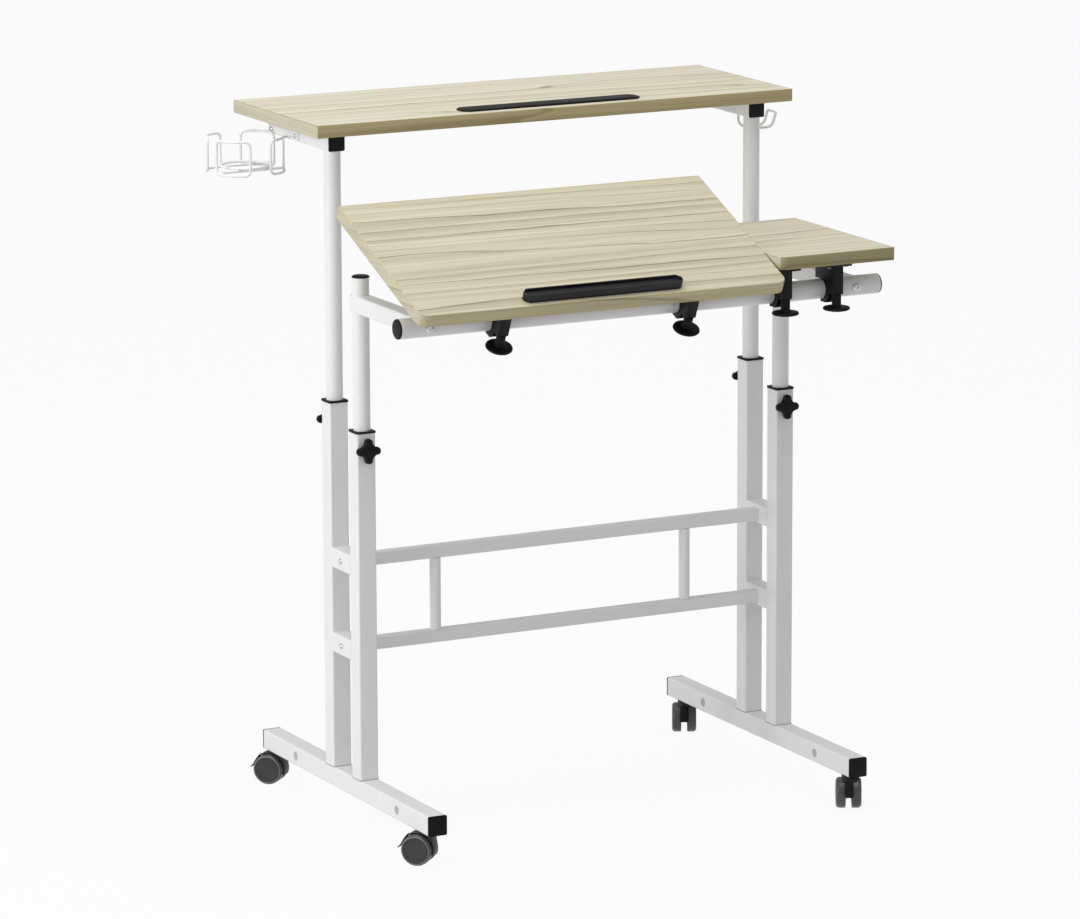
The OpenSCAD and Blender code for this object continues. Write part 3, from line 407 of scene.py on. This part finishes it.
def finish_piece(piece, body, nodes=()):
    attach(piece, body)
    if nodes:
        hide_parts(*nodes)


def copy_of(piece, name):
    twin = piece.copy()
    twin.data = piece.data.copy()
    twin.name = name
    bpy.context.scene.collection.objects.link(twin)
    return twin


def softened(node, name, width, material):
    """A carried-over solid with its sharp edges eased, as moulding leaves them."""
    piece = NODES[node].copy()
    piece.data = NODES[node].data.copy()
    for key in list(piece.keys()):
        del piece[key]
    piece.parent = None
    piece.name = name
    bpy.context.scene.collection.objects.link(piece)
    activate(piece)
    bpy.ops.object.mode_set(mode="EDIT")
    bpy.ops.mesh.select_all(action="SELECT")
    bpy.ops.mesh.remove_doubles(threshold=0.01 * MM)
    bpy.ops.mesh.dissolve_limited(angle_limit=math.radians(1))
    bpy.ops.object.mode_set(mode="OBJECT")
    ease = piece.modifiers.new("eased_edges", "BEVEL")
    ease.width = width * MM
    ease.segments = 2
    ease.limit_method = "ANGLE"
    ease.angle_limit = math.radians(38)
    ease.use_clamp_overlap = True
    bpy.ops.object.modifier_apply(modifier=ease.name)
    smooth(piece)
    piece.data.materials.clear()
    piece.data.materials.append(material)
    finish_piece(piece, NODES[node]["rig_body"], (node,))


def wire(name, paths, radius):
    """Bent round wire along paths of points in millimetres; each path says whether it closes."""
    deselect()
    line = bpy.data.curves.new(name, "CURVE")
    line.dimensions = "3D"
    line.bevel_depth = radius * MM
    line.bevel_resolution = 4
    line.use_fill_caps = True
    for points, closed in paths:
        spline = line.splines.new("POLY")
        spline.points.add(len(points) - 1)
        for target, point in zip(spline.points, points):
            target.co = (*mm(*point), 1)
        spline.use_cyclic_u = closed
    piece = bpy.data.objects.new(name, line)
    bpy.context.scene.collection.objects.link(piece)
    activate(piece)
    bpy.ops.object.convert(target="MESH")
    piece = bpy.context.object
    bpy.ops.object.mode_set(mode="EDIT")
    bpy.ops.mesh.select_all(action="SELECT")
    bpy.ops.mesh.remove_doubles(threshold=0.005 * MM)
    bpy.ops.mesh.normals_make_consistent(inside=False)
    bpy.ops.object.mode_set(mode="OBJECT")
    smooth(piece, 50)
    return piece


def arc(centre, radius, start, end, steps, across=(1, 0, 0), along=(0, 0, 1)):
    """Points of an arc in the plane of two directions, angles in degrees."""
    points = []
    for i in range(steps + 1):
        turn = math.radians(start + (end - start) * i / steps)
        point = Vector(centre) + Vector(across) * radius * math.cos(turn)
        points.append(point + Vector(along) * radius * math.sin(turn))
    return points


# Boards

def board(name, node, body, low, high, place, radii, shade, band):
    """A laminated particle board, edge-banded all round, its rims eased.
    radii are those of its corners, left before right and the front pair first."""
    rim_ease, face_margin, band_width = 1.1, 0.5, 3
    piece = block(name, low, high)
    corners = [(x, y) for y in (low[1], high[1]) for x in (low[0], high[0])]
    for (x, y), radius in zip(corners, radii):
        pick(piece, "EDGE", lambda middle, way: abs(way.z) > 0.9 and math.dist(middle.xy, (x, y)) < 0.01)
        bevel(radius, segments=8)
    for level in (low[2], high[2]):
        pick(piece, "EDGE", lambda middle, way: abs(middle.z - level) < 0.01 and abs(way.z) < 0.1)
        bevel(rim_ease, segments=3)
    pick(piece, "FACE", lambda middle, way: abs(way.z) > 0.999)
    inset(face_margin)

    def finish(middle, way):
        to_edge = min(middle.x - low[0], high[0] - middle.x, middle.y - low[1], high[1] - middle.y)
        if abs(way.z) > 0.999 and to_edge > band_width:
            return 0
        return 2 if abs(way.x) > 0.72 else 1

    paint(piece, [shade, band, BAND_Y], finish)
    smooth(piece, 25)
    settle(piece, place)
    finish_piece(piece, body, (node,))


def boards():
    shelf_low = (-DESK_HALF, SHELF_FRONT, SHELF_TOP - SHELF_THICK)
    shelf_high = (DESK_HALF, SHELF_FRONT + BOARD_DEPTH, SHELF_TOP)
    board("shelf_top", "shelf_board", "shelf", shelf_low, shelf_high, HOME,
          (2, 2, 2, 2), SHELF_FACE, BAND_SHELF)
    work_right, side_left, work_front, side_front = 200, 203, -63, -50
    round_radius, small_radius = 16, 3
    work_low = (-DESK_HALF, work_front, BOARD_LOW)
    work_high = (work_right, work_front + BOARD_DEPTH, BOARD_TOP)
    board("work_top", "main_board", "work_board", work_low, work_high, on_tube(WORK_TILT),
          (round_radius, round_radius, small_radius, small_radius), WORK_FACE, BAND_WORK)
    side_low = (side_left, side_front, BOARD_LOW)
    side_high = (DESK_HALF, side_front + BOARD_DEPTH, BOARD_TOP)
    board("side_top", "side_board", "side_board_body", side_low, side_high, on_tube(0),
          (round_radius, small_radius, small_radius, small_radius), SIDE_FACE, BAND_SIDE)


def chamfered_bar(name, low, high, cut):
    """A flat bar along X with its four upright corners cut off."""
    piece = block(name, low, high)
    pick(piece, "EDGE", lambda middle, way: abs(way.z) > 0.9)
    bevel(cut, segments=1)
    return piece


def ledge():
    """The work board's ledge: a moulded tray with a raised rim, so that pens lie in it."""
    middle_x, half, front, width, height = -100, 129, -55, 20, 12.5
    wall, hollow, cut = 2, 4, 6.5
    low = (middle_x - half, front, BOARD_TOP)
    high = (middle_x + half, front + width, BOARD_TOP + height)
    piece = chamfered_bar("ledge_tray", low, high, cut)
    pick(piece, "FACE", lambda middle, way: way.z > 0.9)
    inset(wall)
    bpy.ops.mesh.extrude_region_move(TRANSFORM_OT_translate={"value": mm(0, 0, -hollow)})
    pick(piece, "EDGE", lambda middle, way: abs(middle.z - high[2]) < 0.01)
    bevel(0.6, segments=2)
    paint(piece, [LEDGE_BLACK], lambda middle, way: 0)
    smooth(piece)
    settle(piece, on_tube(WORK_TILT))
    finish_piece(piece, "work_board", ("main_ledge",))


def stop_strip():
    """The flat stop on the shelf."""
    half, front, width, thick, cut = 150, -29, 36, 3, 9
    top = SHELF_TOP + thick
    piece = chamfered_bar("stop_strip", (-half, front, SHELF_TOP), (half, front + width, top), cut)
    pick(piece, "EDGE", lambda middle, way: abs(middle.z - top) < 0.01 and abs(way.z) < 0.1)
    bevel(0.9, segments=3)
    paint(piece, [BLACK], lambda middle, way: 0)
    smooth(piece)
    settle(piece, HOME)
    finish_piece(piece, "shelf", ("shelf_stop_strip",))


# Casters

def wheel_pattern():
    """One caster wheel along Z, its outer face up: a rounded tread that slopes up to a paler line
    round the rim, and a sunk dark disc."""
    corners, rounding, rim_width, step_width = 64, 2.0, 1.3, 0.35
    tread_reach = WHEEL_RADIUS * math.cos(math.pi / corners)
    rim_reach = tread_reach - rounding
    disc_reach = rim_reach - rim_width - step_width
    near = 0.05
    piece = disc("wheel_pattern", WHEEL_RADIUS, 0, WHEEL_WIDTH, corners)
    # The outer face's rings from its edge inwards: the width of each and how far it sinks
    rings = ((rounding, 0.0), (rim_width, 0.0), (step_width, -1.1), (9.5, -0.2), (3.5, -0.15))
    for width, depth in rings:
        pick(piece, "FACE", lambda middle, way: way.z > 0.9 and middle.xy.length < 1)
        inset(width, depth)
    # The hollow of the inner face
    pick(piece, "FACE", lambda middle, way: way.z < -0.9)
    inset(7)
    inset(0.5, -3)

    def ring(reach, low):
        """Selects the ring of edges at one reach from the axle, above one height."""
        pick(piece, "EDGE", lambda middle, way: abs(way.z) < 0.1 and middle.z > low
             and abs(middle.xy.length - reach) < near)

    # The slope from the rim down to the tread
    for reach, drop in ((tread_reach, 3.4), (rim_reach, 0.8)):
        ring(reach, WHEEL_WIDTH - 0.1)
        bpy.ops.transform.translate(value=mm(0, 0, -drop))
    ring(tread_reach, -1)
    bevel(1.5, segments=4)
    ring(rim_reach, WHEEL_WIDTH - 1.5)
    bevel(0.5, segments=2)

    def finish(middle, way):
        reach = middle.xy.length
        if middle.z < WHEEL_WIDTH - 1.5:
            return 2
        if reach < disc_reach:
            return 0
        return 1 if reach < rim_reach + 0.08 else 2

    paint(piece, [DARK, RIM, TREAD], finish)
    smooth(piece, 30)
    return piece


def casters():
    """Four twin-wheel casters: wheels, hoods and brake pedals."""
    pattern = wheel_pattern()
    for side, left_right in SIDES:
        for front, front_rear in ENDS:
            name = f"caster_{front_rear}_{left_right}"
            place = at_caster(side, front)
            for turn, wheel_name in ((90, "outer"), (-90, "inner")):
                wheel = copy_of(pattern, f"{name}_wheel_{wheel_name}")
                facing = Matrix.Rotation(math.radians(turn), 4, "Y")
                settle(wheel, place @ facing @ Matrix.Translation(mm(0, 0, WHEEL_HALF_GAP)))
                finish_piece(wheel, f"{name}_wheel_pair")
            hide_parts(f"{name}_wheels")
            softened(f"{name}_housing", f"{name}_hood", 0.5, HOOD)
            softened(f"{name}_brake", f"{name}_pedal", 0.5, BLACK)
    bpy.data.objects.remove(pattern)


# Knobs and clamps

def star_pattern():
    """A four-lobed knob head along Z: round lobe tips, round hollows between them,
    a domed face and a low round crown."""
    hollow, hollow_place, tip, tip_place = 9.5, 21.3, 6.3, 12.7
    low, shoulder, crown_low, crown_top, crown_radius = 3, 12.4, 11, 13, 7.5
    corners = 96
    pitch = 360 / corners
    steps = round(45 / pitch)
    piece = disc("star_pattern", KNOB_RADIUS, low, shoulder, corners)
    # The corners are drawn in to the outline, from the middle of each hollow out towards the lobe tips
    for step in range(steps):
        turn, lobe = math.radians(pitch * step), math.radians(45 - pitch * step)
        hollow_side = hollow ** 2 - (hollow_place * math.sin(turn)) ** 2
        tip_side = tip ** 2 - (tip_place * math.sin(lobe)) ** 2
        edges = [hollow_place * math.cos(turn) - math.sqrt(hollow_side)] if hollow_side > 0 else []
        edges += [tip_place * math.cos(lobe) + math.sqrt(tip_side)] if tip_side > 0 else []
        activate(piece)
        bpy.ops.object.mode_set(mode="EDIT")
        bpy.ops.mesh.select_mode(type="VERT")
        bpy.ops.mesh.select_all(action="DESELECT")
        shape = bmesh.from_edit_mesh(piece.data)
        for corner in shape.verts:
            angle = math.degrees(math.atan2(corner.co.y, corner.co.x)) % 90
            corner.select_set(abs(abs(angle - 45) - pitch * step) < 1)
        bmesh.update_edit_mesh(piece.data)
        share = min(edges) / KNOB_RADIUS
        bpy.ops.transform.resize(value=(share, share, 1), center_override=(0, 0, 0))
    pick(piece, "EDGE", lambda middle, way: abs(way.z) < 0.1 and middle.z > shoulder - 0.4)
    bevel(3.4, segments=5)
    pick(piece, "EDGE", lambda middle, way: abs(way.z) < 0.1 and middle.z < low + 0.1)
    bevel(1.0, segments=3)
    bpy.ops.object.mode_set(mode="OBJECT")
    crown = disc("star_crown", crown_radius, crown_low, crown_top, 48)
    pick(crown, "EDGE", lambda middle, way: abs(way.z) < 0.1 and middle.z > crown_top - 1)
    bevel(0.5, segments=2)
    bpy.ops.object.mode_set(mode="OBJECT")
    activate(piece)
    crown.select_set(True)
    bpy.ops.object.join()
    return piece


def star_knobs():
    """The four star knobs, each a head with its neck in one."""
    neck_radius, neck_low, neck_top = 8.5, 1.5, 4
    pattern = star_pattern()
    neck = disc("star_neck", neck_radius, neck_low, neck_top, 40)
    pick(neck, "EDGE", lambda middle, way: abs(way.z) < 0.1 and middle.z < neck_low + 0.5)
    bevel(0.5)
    bpy.ops.object.mode_set(mode="OBJECT")
    activate(pattern)
    neck.select_set(True)
    bpy.ops.object.join()
    paint(pattern, [BLACK], lambda middle, way: 0)
    smooth(pattern, 40)
    for side, left_right in SIDES:
        for front, front_rear in ENDS:
            name = f"knob_{front_rear}_{left_right}"
            head = copy_of(pattern, f"{name}_head")
            settle(head, at_knob(side, front))
            finish_piece(head, f"{name}_body", (name,))
    bpy.data.objects.remove(pattern)


# Accessories

def cup_loop(reach, bend, height, half):
    """Points of one closed loop of the cup holder, its middle towards +X, its foot at height 0."""
    turn = math.radians(half)
    arc_radius = reach - bend * math.cos(turn) / math.sin(turn)
    arc_place = reach * math.cos(turn) + bend * math.sin(turn) - arc_radius * math.cos(turn)
    loop = arc((arc_place, 0, 0), arc_radius, -half, half, 8, (1, 0, 0), (0, 1, 0))
    for side in (1, -1):
        foot = Vector((reach * math.cos(turn), side * reach * math.sin(turn), 0))
        inward = Vector((math.sin(turn), -side * math.cos(turn), 0))
        low_bend = arc(foot + inward * bend + Vector((0, 0, bend)), bend, 270, 180, 6, inward)
        high_bend = arc(foot + inward * bend + Vector((0, 0, height - bend)), bend, 180, 90, 6, inward)
        leg = low_bend[1:] + high_bend[:-1]
        if side > 0:
            loop += leg
            loop += arc((arc_place, 0, height), arc_radius, half, -half, 8, (1, 0, 0), (0, 1, 0))
        else:
            loop += leg[::-1]
    return loop


def cup_holder():
    """Four bent loops round a ring and two cross wires, spot-welded, on a flat bar."""
    loop = cup_loop(reach=57.0, bend=8.0, height=51.0, half=28.0)
    cross_y, cross_half, cross_step, cross_height = 28, 50.8, 17, 4.02
    ring_radius, ring_height = 37, 8.04
    paths = []
    for direction in (45, 135, 225, 315):
        spin = Matrix.Rotation(math.radians(direction), 3, "Z")
        paths.append(([spin @ point for point in loop], True))
    for side in (1, -1):
        stops = (-cross_half, -cross_step, cross_step, cross_half)
        paths.append(([Vector((x, side * cross_y, cross_height)) for x in stops], False))
    paths.append((arc((0, 0, ring_height), ring_radius, 0, 351, 39, (1, 0, 0), (0, 1, 0)), True))
    piece = wire("cup_holder_wires", paths, WIRE_RADIUS)
    paint(piece, [COAT], lambda middle, way: 0)
    settle(piece, HOME @ Matrix.Translation(CUP_PLACE))
    finish_piece(piece, "shelf", ("cup_holder",))
    bar_low, bar_high = (-370.5, 85, 1018), (-367.5, 187, 1032)
    flat_plate("cup_holder_bar", bar_low, bar_high, -1, 0.5)


def flat_plate(name, low, high, side, ease):
    """A flat screwed plate against a shelf arm, its corners rounded and its outer rim eased.
    side is -1 on the left arm and 1 on the right one."""
    plate = block(name, low, high)
    outer = low[0] if side < 0 else high[0]
    pick(plate, "EDGE", lambda middle, way: abs(way.x) > 0.9)
    bevel(3, segments=4)
    pick(plate, "EDGE", lambda middle, way: abs(way.x) < 0.1 and abs(middle.x - outer) < 0.1)
    bevel(ease, segments=2)
    paint(plate, [COAT], lambda middle, way: 0)
    smooth(plate)
    settle(plate, HOME)
    finish_piece(plate, "shelf")


def bag_hook():
    """A hook of one wire bent double, welded to a flat plate."""
    bend, drop, tip_length, rise_angle = 12, 17, 12, 72
    leg_ys = (45, 71)
    rise_way = Vector((math.cos(math.radians(rise_angle)), 0, math.sin(math.radians(rise_angle))))
    legs = []
    for y in leg_ys:
        points = [Vector((0, y, 0)), Vector((0, y, -drop))]
        points += arc((bend, y, -2 * drop), bend, 180, 270, 6)
        points += arc((3 * bend, y, -2 * drop), bend, 270, 270 + rise_angle, 6)
        legs.append(points + [points[-1] + rise_way * tip_length])
    rise = rise_way * 3
    turn = [legs[0][-1] + Vector((0, 0.9, 0)) + rise * 0.7, legs[0][-1] + Vector((0, 3, 0)) + rise]
    turn += [legs[1][-1] + Vector((0, -3, 0)) + rise, legs[1][-1] + Vector((0, -0.9, 0)) + rise * 0.7]
    piece = wire("bag_hook_wire", [(legs[0] + turn + legs[1][::-1], False)], WIRE_RADIUS)
    paint(piece, [COAT], lambda middle, way: 0)
    settle(piece, HOME @ Matrix.Translation(HOOK_PLACE))
    finish_piece(piece, "shelf", ("accessory_hook",))
    plate_low, plate_high = (367.5, 36, 1019), (369.5, 80, 1035)
    flat_plate("bag_hook_plate", plate_low, plate_high, 1, 0.4)


# Small moulded parts keep their solids' shapes, with eased edges

SOFTENED = {
    "foot_end_caps": ("foot_caps", 0.4),
    "shelf_arm_caps": ("shelf_arm_ends", 0.3),
    "desk_post_caps": ("desk_post_tops", 0.6),
    "cross_tube_caps": ("cross_tube_ends", 0.8),
    "upright_bushings": ("upright_collars", 0.35),
    "main_clamp_brackets": ("work_clamps", 0.7),
    "side_clamp_brackets": ("side_clamps", 0.7),
    "clamp_knob_main_left": ("clamp_screw_work_left", 0.6),
    "clamp_knob_main_right": ("clamp_screw_work_right", 0.6),
    "clamp_knob_side_left": ("clamp_screw_side_left", 0.6),
    "clamp_knob_side_right": ("clamp_screw_side_right", 0.6),
}


def small_moulded_parts():
    for node, (name, width) in SOFTENED.items():
        softened(node, name, width, BLACK)


def foot_hole_shades():
    """Light grey discs sunk in the side holes of both feet: painted shade standing for the shaded inside of
    each hole.
    """
    radius, sunk, thick = 6.95, 0.3, 1.0
    for side, left_right in SIDES:
        for place_y, front_rear in FOOT_HOLE_YS:
            for way, in_out in ((side, "outer"), (-side, "inner")):
                name = f"foot_plug_{left_right}_{front_rear}_{in_out}"
                shade_disc = disc(name, radius, -sunk - thick, -sunk, 32)
                pick(shade_disc, "FACE", lambda middle, normal: normal.z > 0.9)
                inset(0.8, -0.2)
                paint(shade_disc, [HOLE_SHADE], lambda middle, normal: 0)
                smooth(shade_disc)
                hole = Matrix.Translation(mm(side * UPRIGHT_X + way * TUBE_WIDTH / 2, place_y, FOOT_HOLE_Z))
                settle(shade_disc, HOME @ hole @ Matrix.Rotation(way * math.pi / 2, 4, "Y"))
                finish_piece(shade_disc, NODES["foot_end_caps"]["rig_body"])


def foot_seam_shades():
    """Painted shade: a thin grey block standing for the dark gap line where each upright's plate stands on
    its foot.
    """
    half, height = TUBE_WIDTH / 2 + 0.1, 0.6
    for side, left_right in SIDES:
        for place_y, front_rear in UPRIGHT_YS:
            x = side * UPRIGHT_X
            low, high = (x - half, place_y - half, FOOT_TOP), (x + half, place_y + half, FOOT_TOP + height)
            seam = block(f"upright_seam_shade_{front_rear}_{left_right}", low, high)
            paint(seam, [SEAM_SHADE], lambda middle, way: 0)
            settle(seam, HOME)
            finish_piece(seam, NODES["foot_end_caps"]["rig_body"])


# Floor, light and camera

def either(tree, a, b):
    """1 where either light-path value is 1."""
    return add_node(tree, "ShaderNodeMath", {0: a, 1: b}, operation="MAXIMUM").outputs[0]


def studio_floor():
    """A white paper floor that glows to the camera and keeps the desk's soft shadow."""
    glow_share = 0.94
    bpy.ops.mesh.primitive_plane_add(size=60, location=(0, 0, 0))
    floor = bpy.context.object
    floor.name = "studio_floor"
    material = bpy.data.materials.new("white_paper")
    material.use_nodes = True
    tree = material.node_tree
    tree.nodes.clear()
    paper = add_node(tree, "ShaderNodeBsdfDiffuse", {"Color": srgb("#CCCCCC")})
    glow = add_node(tree, "ShaderNodeEmission", {"Color": srgb("#FFFFFF"), "Strength": 1.0})
    path = add_node(tree, "ShaderNodeLightPath").outputs
    seen = either(tree, path["Is Camera Ray"], path["Is Glossy Ray"])
    seen = either(tree, seen, path["Is Transmission Ray"])
    share = add_node(tree, "ShaderNodeMath", {0: seen, 1: glow_share}, operation="MULTIPLY").outputs[0]
    mix = add_node(tree, "ShaderNodeMixShader", {"Fac": share, 1: paper.outputs[0], 2: glow.outputs[0]})
    add_node(tree, "ShaderNodeOutputMaterial", {"Surface": mix.outputs[0]})
    floor.data.materials.append(material)


def studio_world():
    """White behind the desk, softer where it lights it."""
    world = bpy.data.worlds.new("studio")
    bpy.context.scene.world = world
    world.use_nodes = True
    tree = world.node_tree
    tree.nodes.clear()
    soft = add_node(tree, "ShaderNodeBackground", {"Color": srgb("#FFFFFF"), "Strength": 0.48})
    white = add_node(tree, "ShaderNodeBackground", {"Color": srgb("#FFFFFF"), "Strength": 1.0})
    path = add_node(tree, "ShaderNodeLightPath").outputs
    seen = either(tree, path["Is Camera Ray"], path["Is Transmission Ray"])
    mix = add_node(tree, "ShaderNodeMixShader", {"Fac": seen, 1: soft.outputs[0], 2: white.outputs[0]})
    add_node(tree, "ShaderNodeOutputWorld", {"Surface": mix.outputs[0]})


def soft_box(name, place, aim, size, power):
    lamp = bpy.data.lights.new(name, "AREA")
    lamp.shape = "RECTANGLE"
    lamp.size, lamp.size_y = size
    lamp.energy = power
    box = bpy.data.objects.new(name, lamp)
    bpy.context.scene.collection.objects.link(box)
    box.location = place
    box.rotation_euler = (Vector(aim) - Vector(place)).to_track_quat("-Z", "Y").to_euler()


# Lamps: name, place, aim and size in metres, power in watts
LAMPS = (
    ("left_box", (-3.6, -0.6, 1.8), (0, 0, 0.55), (2.4, 2.4), 46),
    ("edge_strip", (-3.4, -0.1, 1.2), (0, 0, 0.7), (0.22, 2.6), 14),
    ("top_box", (-0.3, -0.3, 3.8), (0, 0, 0.6), (2.6, 2.6), 62),
)

# The photograph's camera, fitted to the desk's own corners, in degrees and millimetres
CAMERA_PLACE = mm(-3991.988 + 29.245, -7762.240 + 68.475, 2348.217)
CAMERA_YAW = math.radians(27.1510)
CAMERA_PITCH = math.radians(11.8677)
CAMERA_ROLL = math.radians(-0.1953)
SENSOR_WIDTH = 36
CAMERA_LENS = 5863.893 / 1080 * SENSOR_WIDTH


def photo_camera():
    camera = bpy.data.objects.new("camera", bpy.data.cameras.new("camera"))
    bpy.context.scene.collection.objects.link(camera)
    bpy.context.scene.camera = camera
    camera.data.sensor_width = SENSOR_WIDTH
    camera.data.sensor_fit = "HORIZONTAL"
    camera.data.lens = CAMERA_LENS
    camera.data.clip_end = 100
    level = math.cos(CAMERA_PITCH)
    look = Vector((math.sin(CAMERA_YAW) * level, math.cos(CAMERA_YAW) * level, -math.sin(CAMERA_PITCH)))
    side = Vector((math.cos(CAMERA_YAW), -math.sin(CAMERA_YAW), 0))
    up = side.cross(look)
    turned_side = side * math.cos(CAMERA_ROLL) + up * math.sin(CAMERA_ROLL)
    turned_up = up * math.cos(CAMERA_ROLL) - side * math.sin(CAMERA_ROLL)
    facing = Matrix((turned_side, turned_up, -look)).transposed().to_4x4()
    camera.matrix_world = Matrix.Translation(CAMERA_PLACE) @ facing


boards()
ledge()
stop_strip()
casters()
star_knobs()
cup_holder()
bag_hook()
small_moulded_parts()
foot_hole_shades()
foot_seam_shades()
studio_floor()
studio_world()
for name, place, aim, size, power in LAMPS:
    soft_box(name, place, aim, size, power)
photo_camera()
bpy.context.scene.view_settings.view_transform = "Standard"
